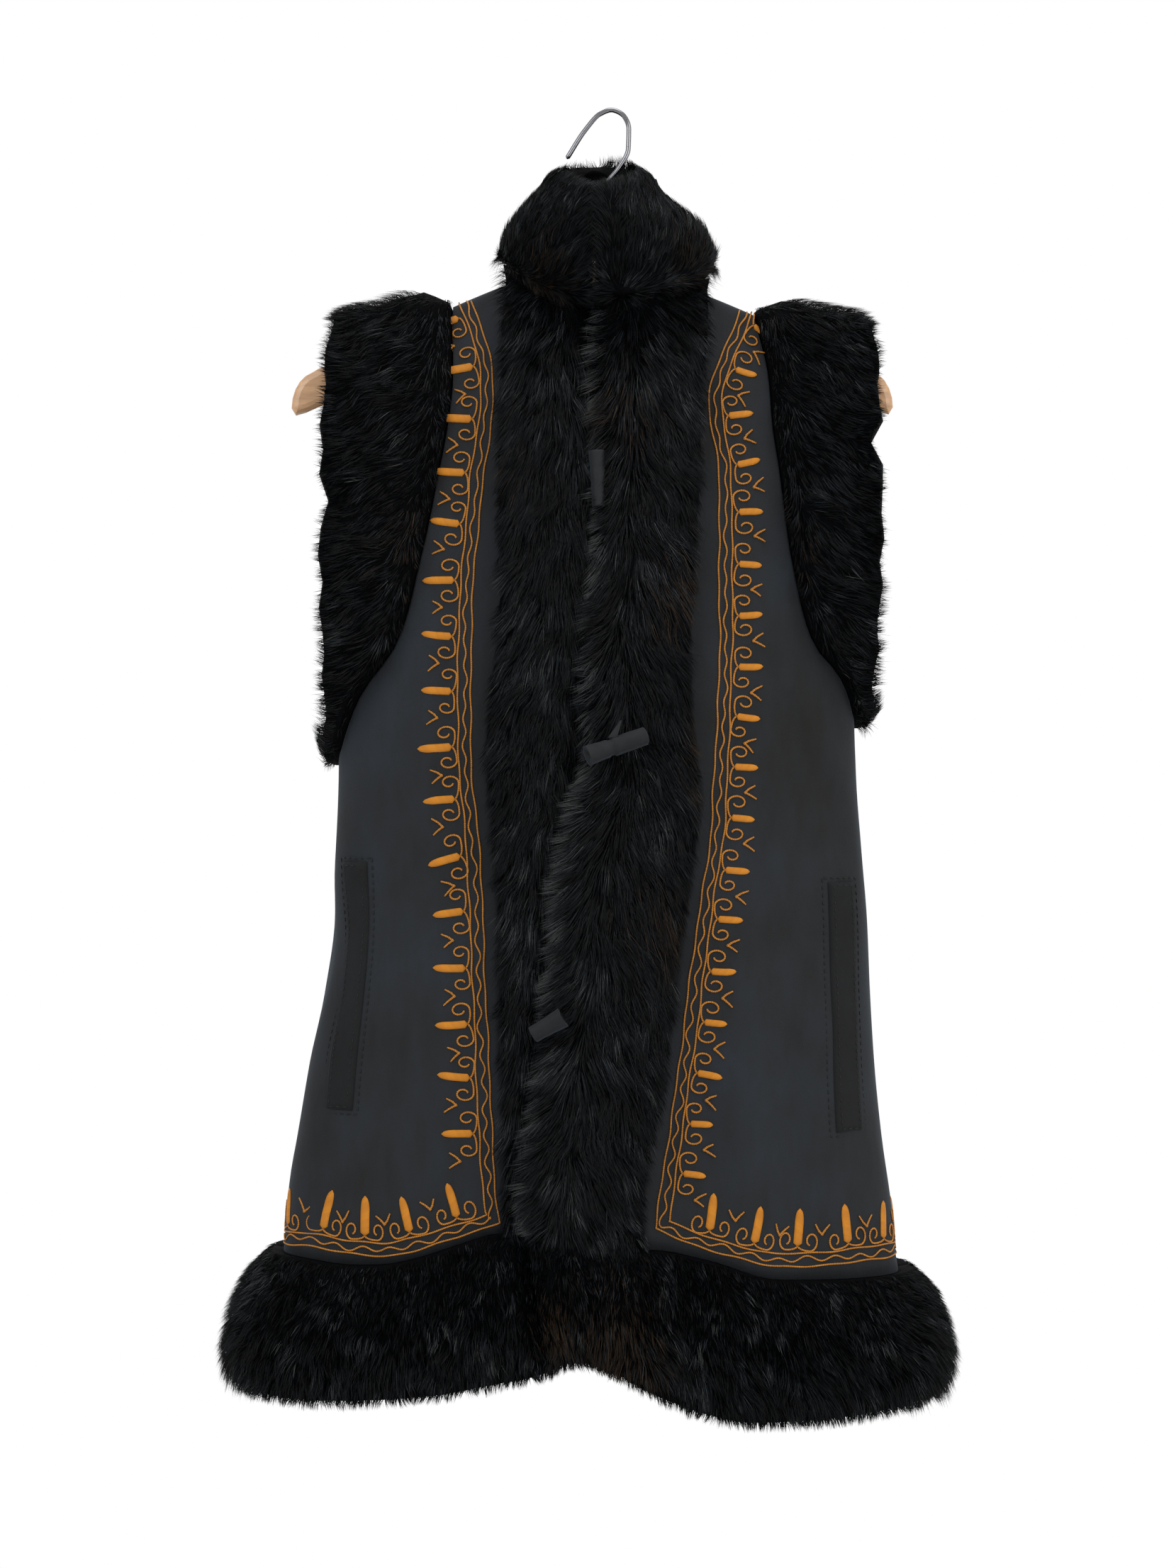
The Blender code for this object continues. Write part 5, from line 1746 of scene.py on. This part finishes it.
@dataclass
class Embroidery:
    """Three border lines down each front and round the hem, with leaves, curls and sprigs beside them."""

    map: ClothMap
    spacing: dict[str, float] = field(default_factory=lambda: {"left": 38.0, "right": 35.0})
    leaf: dict[str, float] = field(default_factory=lambda: {"left": 23.0, "right": 17.0})
    hem_spacing: float = 33.0
    hem_leaf: float = 26.0
    line_gap: float = 4.4
    wave_length: float = 19.0
    wave_size: float = 1.6
    back_length: float = 500.0
    line_thread: float = 0.64
    line_stitch: float = 2.55
    line_out: float = 0.45
    curl_thread: float = 0.68
    curl_stitch: float = 2.3
    curl_out: float = 0.5
    sprig_thread: float = 0.92
    sprig_stitch: float = 2.6
    sprig_out: float = 0.55
    leaf_rows: int = 14
    leaf_columns: int = 7
    step: float = 1.2
    highest: float = -134.0
    corner_height: float = -771.0

    def front_path(self, side: str, inward: float) -> Array:
        """Return a front's border line as flat places, from the shoulder to the corner, moved inward."""
        table = FRONT_LINE[side]
        top = float(shoulder(table["x"][-1])) - 2.0
        corner_x = float(read(table, "x", self.corner_height)) + SIGN[side] * inward
        corner = float(read(HEM_LINE[side], "height", corner_x)) + inward
        height = np.linspace(top, corner, 260)
        x = read(table, "x", height) + SIGN[side] * inward
        return self.map.flat(x, height)

    def hem_path(self, side: str, inward: float) -> Array:
        """Return a hem's border line as flat places, from the corner to the side seam, moved inward."""
        low = self.corner_height
        corner = float(read(FRONT_LINE[side], "x", low)) + SIGN[side] * inward
        first = float(angle_at(np.array(corner), np.array(low)))
        turn = np.linspace(first, SIGN[side] * math.pi / 2, 200)
        x = read(BODY, side, -790.0) * np.sin(turn)
        height = read(HEM_LINE[side], "height", x) + inward
        return np.stack([self.map.between(height, turn, False), height], axis=-1)

    def waved(self, path: Array) -> Array:
        """Return a line that swings evenly to both sides of a path."""
        even = along_line(path, self.step)
        far = np.arange(len(even)) * self.step
        size = self.wave_size * blend(0.55, 1.0, ease((-350.0 - even[:, 1]) / 350.0))
        swing = size * np.sin(2 * math.pi * far / self.wave_length + 0.8 * np.sin(far / 47.0))
        return even + aside_of(even) * swing[:, None]

    def wobble(self, path: Array, seed: int) -> Array:
        """Return a path with the small unevenness of hand sewing."""
        rng = np.random.default_rng(seed)
        far = np.arange(len(path)) * self.step
        off = sum(0.34 * np.sin(far / length + rng.uniform(0, 6.3)) for length in (5.0, 11.0, 23.0))
        return path + aside_of(path) * off[:, None]

    def lines(self, side: str, material: Material) -> None:
        """Sew a front's three border lines: straight, waved and straight.

        Args:
            side: left or right.
            material: the thread.
        """
        sewn = Sewn()
        over = side == "right"
        for number in range(3):
            inward = number * self.line_gap
            path = np.concatenate([self.front_path(side, inward), self.hem_path(side, inward)])
            even = self.waved(path) if number == 1 else along_line(path, self.step)
            laid, normal = self.map.laid(self.wobble(even, 5 + number), over, self.line_out)
            sewn.thread(laid, normal, self.line_thread, self.line_stitch)
        sewn.piece(f"border_lines_{side}", material)

    def back(self, material: Material) -> None:
        """Sew the three lines that go on round the back of the hem.

        Args:
            material: the thread.
        """
        sewn = Sewn()
        for number in range(3):
            turn = np.radians(np.linspace(90.3, 269.7, 500))
            height = read(BACK_LINE, "height", np.degrees(turn)) + number * self.line_gap
            if number == 1:
                arc = np.linspace(0, self.back_length, len(turn))
                height = height + self.wave_size * np.sin(2 * math.pi * arc / self.wave_length)
            points, normal = on_cloth(turn, height)
            both = along_line(np.concatenate([points, normal], axis=-1), self.step)
            normal = unit(both[:, 3:])
            laid = both[:, :3] + normal * self.line_out
            sewn.thread(laid, normal, self.line_thread, self.line_stitch)
        sewn.piece("border_lines_back", material)

    def curl(self, reach: float, size: float) -> Array:
        """Return a curl as places along and away from the border.

        Args:
            reach: how far along its spiral's middle is.
            size: the spiral's first radius.

        Returns:
            A stem that keeps near the border, then an open arc of nearly one turn that tightens.
        """
        turn = np.linspace(-0.5, 1.45, 36) * math.pi
        radius = blend(size, 0.42 * size, ease((turn + 0.5 * math.pi) / (1.95 * math.pi)))
        off = 0.95 * size + 1.35 * radius * np.sin(turn)
        spiral = np.stack([reach + radius * np.cos(turn), off], axis=-1)
        stem = np.array([[0.0, 0.6], [0.25 * reach, -0.9], [0.6 * reach, -0.36 * size]])
        return np.concatenate([stem, spiral])

    def unit_at(
        self, sewn: Sewn, leaves: Sewn, ways: Ways, sizes: tuple[float, float], over: bool, rng: Chance
    ) -> None:
        """Sew one unit: a leaf, a curl on either side of it and a sprig after it.

        Args:
            sewn: what gets the threads.
            leaves: what gets the leaf.
            ways: the unit's flat place, the way along the border and the way off it.
            sizes: the space between units and the leaf's length.
            over: whether it is on the right front.
            rng: the source of the hand's small differences.

        A curl that would run off the cloth at the shoulder isn't sewn.
        """
        place, ahead, off = ways
        spacing, length = sizes
        turn = rng.normal(0, 0.07)
        ahead, off = (
            math.cos(turn) * ahead + math.sin(turn) * off,
            math.cos(turn) * off - math.sin(turn) * ahead,
        )
        for way in (-1, 1):
            curl = self.curl(spacing * rng.uniform(0.25, 0.30), rng.uniform(4.3, 5.2))
            flat = place + way * curl[:, :1] * ahead + curl[:, 1:] * off
            if flat[:, 1].max() > self.highest:
                continue
            laid, normal = self.map.laid(along_line(flat, self.step), over, self.curl_out)
            sewn.thread(laid, normal, self.curl_thread, self.curl_stitch)
        vertex = place + 0.5 * spacing * ahead + rng.uniform(8.5, 10.5) * off
        for way in (-1, 1):
            arm = rng.uniform(4.0, 6.0) * way * ahead + rng.uniform(7.0, 9.0) * off
            bow = 0.8 * way * off
            flat = np.stack([vertex - 0.5 * way * ahead, vertex + 0.5 * arm + bow, vertex + arm])
            laid, normal = self.map.laid(along_line(flat, self.step), over, self.sprig_out)
            sewn.thread(laid, normal, self.sprig_thread, self.sprig_stitch, True)
        length = length * rng.uniform(0.92, 1.06)
        self.leaf_at(leaves, (place, ahead, off), length, rng.normal(0, 1.3), over)

    def leaf_at(self, leaves: Sewn, ways: Ways, length: float, bend: float, over: bool) -> None:
        """Sew a leaf of satin stitches.

        Args:
            leaves: what gets it.
            ways: the flat place of its foot, the way across it and the way along it.
            length: its length.
            bend: how far its tip bends aside.
            over: whether it is on the right front.

        A closed dome: its half width rises fast at the foot and rounds off at the tip, and its height is the
        root of what the square of the place across leaves of one.
        """
        place, ahead, off = ways
        share = np.linspace(0.0, 1.0, self.leaf_rows)[:, None]
        across = np.linspace(-1, 1, self.leaf_columns)[None, :]
        widest = float(np.interp(length, LEAF_WIDTH["length"], LEAF_WIDTH["half"]))
        tip = np.sqrt(np.clip(1 - np.clip((share - 0.6) / 0.4, 0, 1) ** 2.4, 0.01, 1))
        half = widest * np.clip(share / 0.07, 0.04, 1) ** 0.5 * tip
        aside = half * across + bend * share**2
        flat = place + aside[..., None] * ahead + ((1.0 + length * share) + 0 * across)[..., None] * off
        base, normal = self.map.laid(flat.reshape(-1, 2), over, 0.1)
        rise = (0.25 + 0.95 * np.sqrt(np.clip(1 - across**2, 0, 1)) * (half / widest) ** 0.5).reshape(-1, 1)
        points = np.concatenate([base, base + normal * rise])
        quads = outward_faces(points, shell_faces(self.leaf_rows, self.leaf_columns))
        along = np.tile((length * share + 1.4 * across).reshape(-1), 2)
        leaves.add(points, quads, None, along, np.tile((aside / 5.0).reshape(-1), 2))

    def units(self, side: str, line: Material, leaf: Material) -> None:
        """Sew all the units beside a front's border and its hem's.

        Args:
            side: left or right.
            line: the finish of curls and sprigs.
            leaf: the leaves' finish.
        """
        rng = np.random.default_rng(71 if side == "left" else 72)
        sewn, leaves = Sewn(), Sewn()
        stand_off = 2 * self.line_gap + 3.6
        over = side == "right"
        hem_first = 25.0 if over else 19.0
        runs = (
            (self.front_path(side, stand_off), self.spacing[side], self.leaf[side], 14.0, 20.0),
            (self.hem_path(side, stand_off), self.hem_spacing, self.hem_leaf, hem_first, 2.0),
        )
        for path, spacing, length, first, last in runs:
            even = along_line(path, 1.0)
            stops = np.arange(first, len(even) - last, spacing)
            for stop in stops:
                index = min(int(stop + rng.normal(0, 0.8)), len(even) - 3)
                ahead = unit(even[index + 2] - even[max(index - 2, 0)])
                off = np.array([-ahead[1], ahead[0]]) * SIGN[side]
                off = off if path is runs[1][0] or off[0] * SIGN[side] > 0 else -off
                off = off if path is runs[0][0] or off[1] > 0 else -off
                self.unit_at(sewn, leaves, (even[index], ahead, off), (spacing, length), over, rng)
        sewn.piece(f"border_curls_{side}", line)
        leaves.piece(f"border_leaves_{side}", leaf)

    def build(self, line: Material, leaf: Material) -> None:
        """Sew everything.

        Args:
            line: the finish of lines, curls and sprigs.
            leaf: the leaves' finish.
        """
        for side in SIDES:
            self.lines(side, line)
            self.units(side, line, leaf)
        self.back(line)


# Pockets, toggles, hanger and studio


@dataclass
class PocketWelt:
    """A pocket's welt: a strip of darker suede with a line of stitches round it."""

    side: str
    length: float = 171.0
    width: float = 14.0
    rows: int = 65
    columns: int = 13
    thread: float = 0.42
    stitch: float = 2.6
    space: float = 1.3
    step: float = 1.3

    def place(self, down: Array, across: Array) -> tuple[Array, Array]:
        """Return angles and heights at shares down and across the welt."""
        welt = WELTS[self.side]
        inner = np.radians(blend(welt["in_top"], welt["in_low"], down))
        outer = np.radians(blend(welt["out_top"], welt["out_low"], down))
        return blend(inner, outer, across), blend(welt["top"], welt["low"], down) + 0 * across

    def build(self, leather: Material, thread: Material) -> None:
        """Build the strip and its stitches.

        Args:
            leather: the strip's finish.
            thread: the stitches' finish.
        """
        over = self.side == "right"
        down = np.linspace(0, 1, self.rows)[:, None]
        across = np.linspace(0, 1, self.columns)[None, :]
        angle, height = self.place(down, across)
        points, normal = on_cloth(angle, height, over)
        edge = np.minimum(np.minimum(across, 1 - across) * 20.0, np.minimum(down, 1 - down) * self.length)
        round_over = np.sqrt(np.clip(edge / 1.6, 0.02, 1))
        wave = 0.22 * np.sin(height / 7.3) * np.sin(across * math.pi)
        high = points + normal * (0.5 + (WELT_GAP + WELT_THICKNESS - 0.5) * round_over + wave)[..., None]
        low = points + normal * 0.35
        node = f"pocket_welt_{self.side}"
        put_shell(node + "_strip", low, high, leather, (node,))
        self.sew(over, thread)
        LOG.info("%s", node)

    def sew(self, over: bool, thread: Material) -> None:
        """Sew the stitches in a line just outside the strip's edge and one inside it.

        Args:
            over: whether it is on the right front.
            thread: the stitches' finish.
        """
        sewn, top = Sewn(), WELT_GAP + WELT_THICKNESS
        for out_across, out_down, out in ((0.17, 0.016, 0.3), (-0.16, -0.014, top + 0.05)):
            corners = np.array([[0, 0], [1, 0], [1, 1], [0, 1], [0, 0]], float)
            corners = 0.5 + (corners - 0.5) * (1 + 2 * np.array([out_down, out_across]))
            shares = along_line(corners * [self.length, self.width], 1.0) / [self.length, self.width]
            angle, height = self.place(shares[:, 0], shares[:, 1])
            points, normal = on_cloth(angle, height, over)
            line = along_line(np.concatenate([points + normal * out, normal], axis=1), self.step)
            long = round(self.stitch / self.step) + 1
            every = round((self.stitch + self.space) / self.step) + 1
            for first in range(0, len(line) - long, every):
                part = line[first : first + long]
                sewn.thread(part[:, :3], unit(part[:, 3:]), self.thread, 2 * self.stitch)
        sewn.piece(f"welt_stitches_{self.side}", thread)


@dataclass
class Toggle:
    """A toggle: a strip of suede rolled into a cone."""

    row: int
    tab: bool = False
    sides: int = 36
    rows: int = 27

    def axis(self) -> tuple[Array, Array, Array, Array]:
        """Return the toggle's thick end, its thin end and the two half thicknesses."""
        toggle = row_of(TOGGLES, self.row)
        along = np.linspace(0, 1, 7)
        height = blend(toggle["thick_height"], toggle["thin_height"], along)
        angle = angle_at(blend(toggle["x_thick"], toggle["x_thin"], along), height)
        fur = np.max(np.maximum(band_pile("left", angle, height), band_pile("right", angle, height)))
        out = (fur + 0.5 * blend(toggle["thick"], toggle["thin"], along) + toggle["clear"])[:, None]
        line = cloth(angle, height, True) + cloth_normal(angle, height, True) * out
        return line[0], line[-1], 0.5 * toggle["thick"], 0.5 * toggle["thin"]

    def build(self, leather: Material) -> None:
        """Build the roll. Its radius grows with the turn, so that a lap runs down one side of it.

        Args:
            leather: its finish.
        """
        start, end, thick, thin = self.axis()
        way = unit(end - start)
        aside = unit(np.cross(way, [0, -1.0, 0]))
        ahead = np.cross(aside, way)
        turn = np.linspace(0, 2 * math.pi, self.sides, endpoint=False)
        share = np.linspace(0, 1, self.rows)
        lap = 0.86 + 0.14 * turn / (2 * math.pi)
        waist = 1 - 0.05 * np.sin(math.pi * share) + 0.012 * np.sin(share * 19.0)
        if self.tab:
            step_down = 0.9 + 0.1 * ease((share - 0.42) / 0.04)
            waist = waist * step_down * (1 - 0.16 * bell(share, 0.4, 0.03))
        end_close = np.array([0.04, 0.3, 0.36, 0.8, 0.95])
        close = np.concatenate([end_close, np.ones(self.rows), end_close[::-1]])
        sunk = np.array([0.12, 0.115, 0.03, 0.004, 0.0])
        place = np.concatenate([sunk, 0.006 + 0.988 * share, 1 - sunk[::-1]])
        middle = blend(thick, thin, share) * waist
        radius = np.concatenate([np.full(5, thick), middle, np.full(5, thin)]) * close
        ring = np.cos(turn)[:, None] * aside + np.sin(turn)[:, None] * ahead
        points = (start + place[:, None] * (end - start))[:, None] + (radius[:, None] * lap)[..., None] * ring
        index, quads = ring_quads(len(place), self.sides)
        flat = points.reshape(-1, 3)
        quads = outward_faces(flat, quads)
        caps = np.stack([index[0], index[-1][::-1]])
        node = f"toggle_{self.row + 1}"
        put_mesh(node + "_roll", flat, [quads, caps], leather, (node,))
        if self.tab:
            self.build_tab(0.5 * (start + end), leather)
        LOG.info("%s", node)

    def build_tab(self, middle: Array, leather: Material) -> None:
        """Build the small leather tab that stands up behind the roll: a strip that bends back and narrows."""
        up, across = np.linspace(0, 1, 15)[:, None], np.linspace(-1, 1, 7)[None, :]
        half = 3.2 * (1 - 0.8 * up) * across
        high = 5.0 + 12.0 * up + 0 * half
        back = -2.0 + 5.0 * up**2 + 0.4 * across**2 + 0 * half
        rise = np.stack([half - 3.0 + 6.0 * up, back, high], axis=-1)
        put_shell("toggle_tab", middle + rise, middle + rise + [0, -1.3, 0], leather, ())


def wood_top(x: Array | float) -> Array:
    """Return the height of the hanger's top, just under the cloth and lower below the collar."""
    lower = 2.5 * (1 - ease((np.abs(x - MIDDLE_X) - 74.0) / 12.0))
    return shoulder(x) - (SUEDE + SEAM_GAP) * math.hypot(1.0, SHOULDER_FALL) - lower


@dataclass
class Hanger:
    """The wooden bar and its wire hook."""

    sides: int = 20
    steps: int = 260
    spacing: float = 1.2
    tip_length: float = 1.6

    def build(self, wood: Material, wire: Material) -> None:
        """Finish the bar and build the hook.

        Args:
            wood: the bar's finish.
            wire: the hook's finish.
        """
        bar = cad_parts["hanger_bar"]
        bar.material_slots[0].material = wood
        LOG.info("hanger_bar")
        stops = np.linspace(0, HOOK["point"][-1], self.steps)
        x, z = read(HOOK, "x", stops), read(HOOK, "height", stops)
        path = np.stack([x, 0 * x, z], axis=-1)
        foot = np.array([[MIDDLE_X, 0.0, float(wood_top(MIDDLE_X)) + SEAM_GAP]])
        path = along_line(np.concatenate([path, foot]), self.spacing)
        from_tip = np.arange(len(path)) * self.spacing
        rounded = np.clip(from_tip / self.tip_length + 0.05, 0, 1)
        radius = np.full(len(path), WIRE / 2) * np.sqrt(rounded * (2 - rounded))
        points, quads, caps = tube(path, radius, self.sides, np.array([0, 1.0, 0]) + 0 * path)
        put_mesh("hanger_hook_wire", points, [quads, caps], wire, ("hanger_hook",))
        LOG.info("hanger_hook")


@dataclass
class Studio:
    """The white room, its pale floor, the lights and the camera."""

    distance: float = 2.2
    centre_x: float = -0.008
    centre_z: float = -0.470
    view_height: float = 1.106
    sensor: float = 36.0
    floor_height: float = -1.55
    floor_reach: float = 2.0

    def floor(self) -> None:
        """Lay a plain pale floor, a flat square well below the hem."""
        sockets = {"Base Color": (0.88, 0.88, 0.87, 1.0), "Roughness": 0.9}
        paint = start_material("floor_paint", sockets)[2]
        corners = [(-1, -1), (1, -1), (1, 1), (-1, 1)]
        mesh = bpy.data.meshes.new("floor")
        points = [(x * self.floor_reach, y * self.floor_reach, self.floor_height) for x, y in corners]
        mesh.from_pydata(points, [], [(0, 1, 2, 3)])
        mesh.materials.append(paint)
        ground = bpy.data.objects.new("floor", mesh)
        bpy.context.scene.collection.objects.link(ground)

    def lamp(self, name: str, place: Colour, size: float, power: float, colour: Colour) -> None:
        """Add a square soft light that faces the vest's middle.

        Args:
            name: its name.
            place: where it hangs, in metres.
            size: its side.
            power: its watts.
            colour: its colour.
        """
        data = bpy.data.lights.new(name, "AREA")
        data.shape, data.size, data.energy, data.color = "SQUARE", size, power, colour
        lamp = bpy.data.objects.new(name, data)
        lamp.location = place
        aim = np.array([0, 0, -0.45]) - np.array(place)
        level = math.hypot(aim[0], aim[1])
        lamp.rotation_euler = (math.atan2(level, -aim[2]), 0, math.atan2(aim[1], aim[0]) - math.pi / 2)
        bpy.context.scene.collection.objects.link(lamp)

    def build(self) -> None:
        """Set up the floor, the lights and the camera in a white room without walls."""
        self.floor()
        world = bpy.data.worlds.new("soft_room")
        world.use_nodes = True
        ground = world.node_tree.nodes["Background"]
        ground.inputs["Color"].default_value = (1.0, 1.0, 1.0, 1.0)
        ground.inputs["Strength"].default_value = 1.0
        bpy.context.scene.world = world
        bpy.context.scene.view_settings.view_transform = "Standard"
        self.lamp("key", (-1.7, -1.9, 0.9), 1.6, 34.0, (0.92, 0.97, 1.0))
        self.lamp("fill", (1.9, -1.7, 0.2), 1.8, 34.0, (1.0, 0.98, 0.95))
        self.lamp("top", (0.2, -0.4, 1.7), 1.2, 22.0, (1.0, 1.0, 1.0))
        data = bpy.data.cameras.new("camera")
        data.sensor_width = self.sensor
        data.lens = self.sensor * self.distance / self.view_height
        data.clip_start, data.clip_end = 0.05, 20.0
        camera = bpy.data.objects.new("camera", data)
        camera.location = (self.centre_x, -self.distance, self.centre_z)
        camera.rotation_euler = (math.pi / 2, 0, 0)
        bpy.context.scene.collection.objects.link(camera)
        bpy.context.scene.camera = camera


def main() -> None:
    """Build the studio and dress the vest."""
    logging.basicConfig(level=logging.INFO, format="%(name)s: %(message)s")
    Studio().build()
    nap, twist = nap_group(), twist_group()
    suede = NapFinish("suede", *Dye.SUEDE.value, 9.0, 1100.0, 0.05).make(nap)
    welt = NapFinish("welt_suede", *Dye.WELT.value, 30.0, 1100.0, 0.02).make(nap)
    roll = NapFinish("rolled_suede", *Dye.ROLL.value, 60.0, 900.0, 0.05, 0.75).make(nap)
    hide, hair = HideFinish("underfur").make(), HairFinish("fur_hair").make()
    line = ThreadFinish("border_thread", *Dye.LINE.value, 1.3).make(twist)
    leaf = ThreadFinish("leaf_thread", *Dye.LEAF.value, 0.75).make(twist)
    dark = ThreadFinish("welt_thread", *Dye.DARK.value, 0.8).make(twist)
    Hanger().build(WoodFinish("hanger_wood").make(), WireFinish("plated_wire").make())
    SuedeBody().build(suede)
    FurTrim().build(hide, hair)
    Embroidery(ClothMap()).build(line, leaf)
    for side in SIDES:
        PocketWelt(side).build(welt, dark)
    for row in range(3):
        Toggle(row, tab=row == 1).build(roll)


if __name__ == "__main__":
    main()
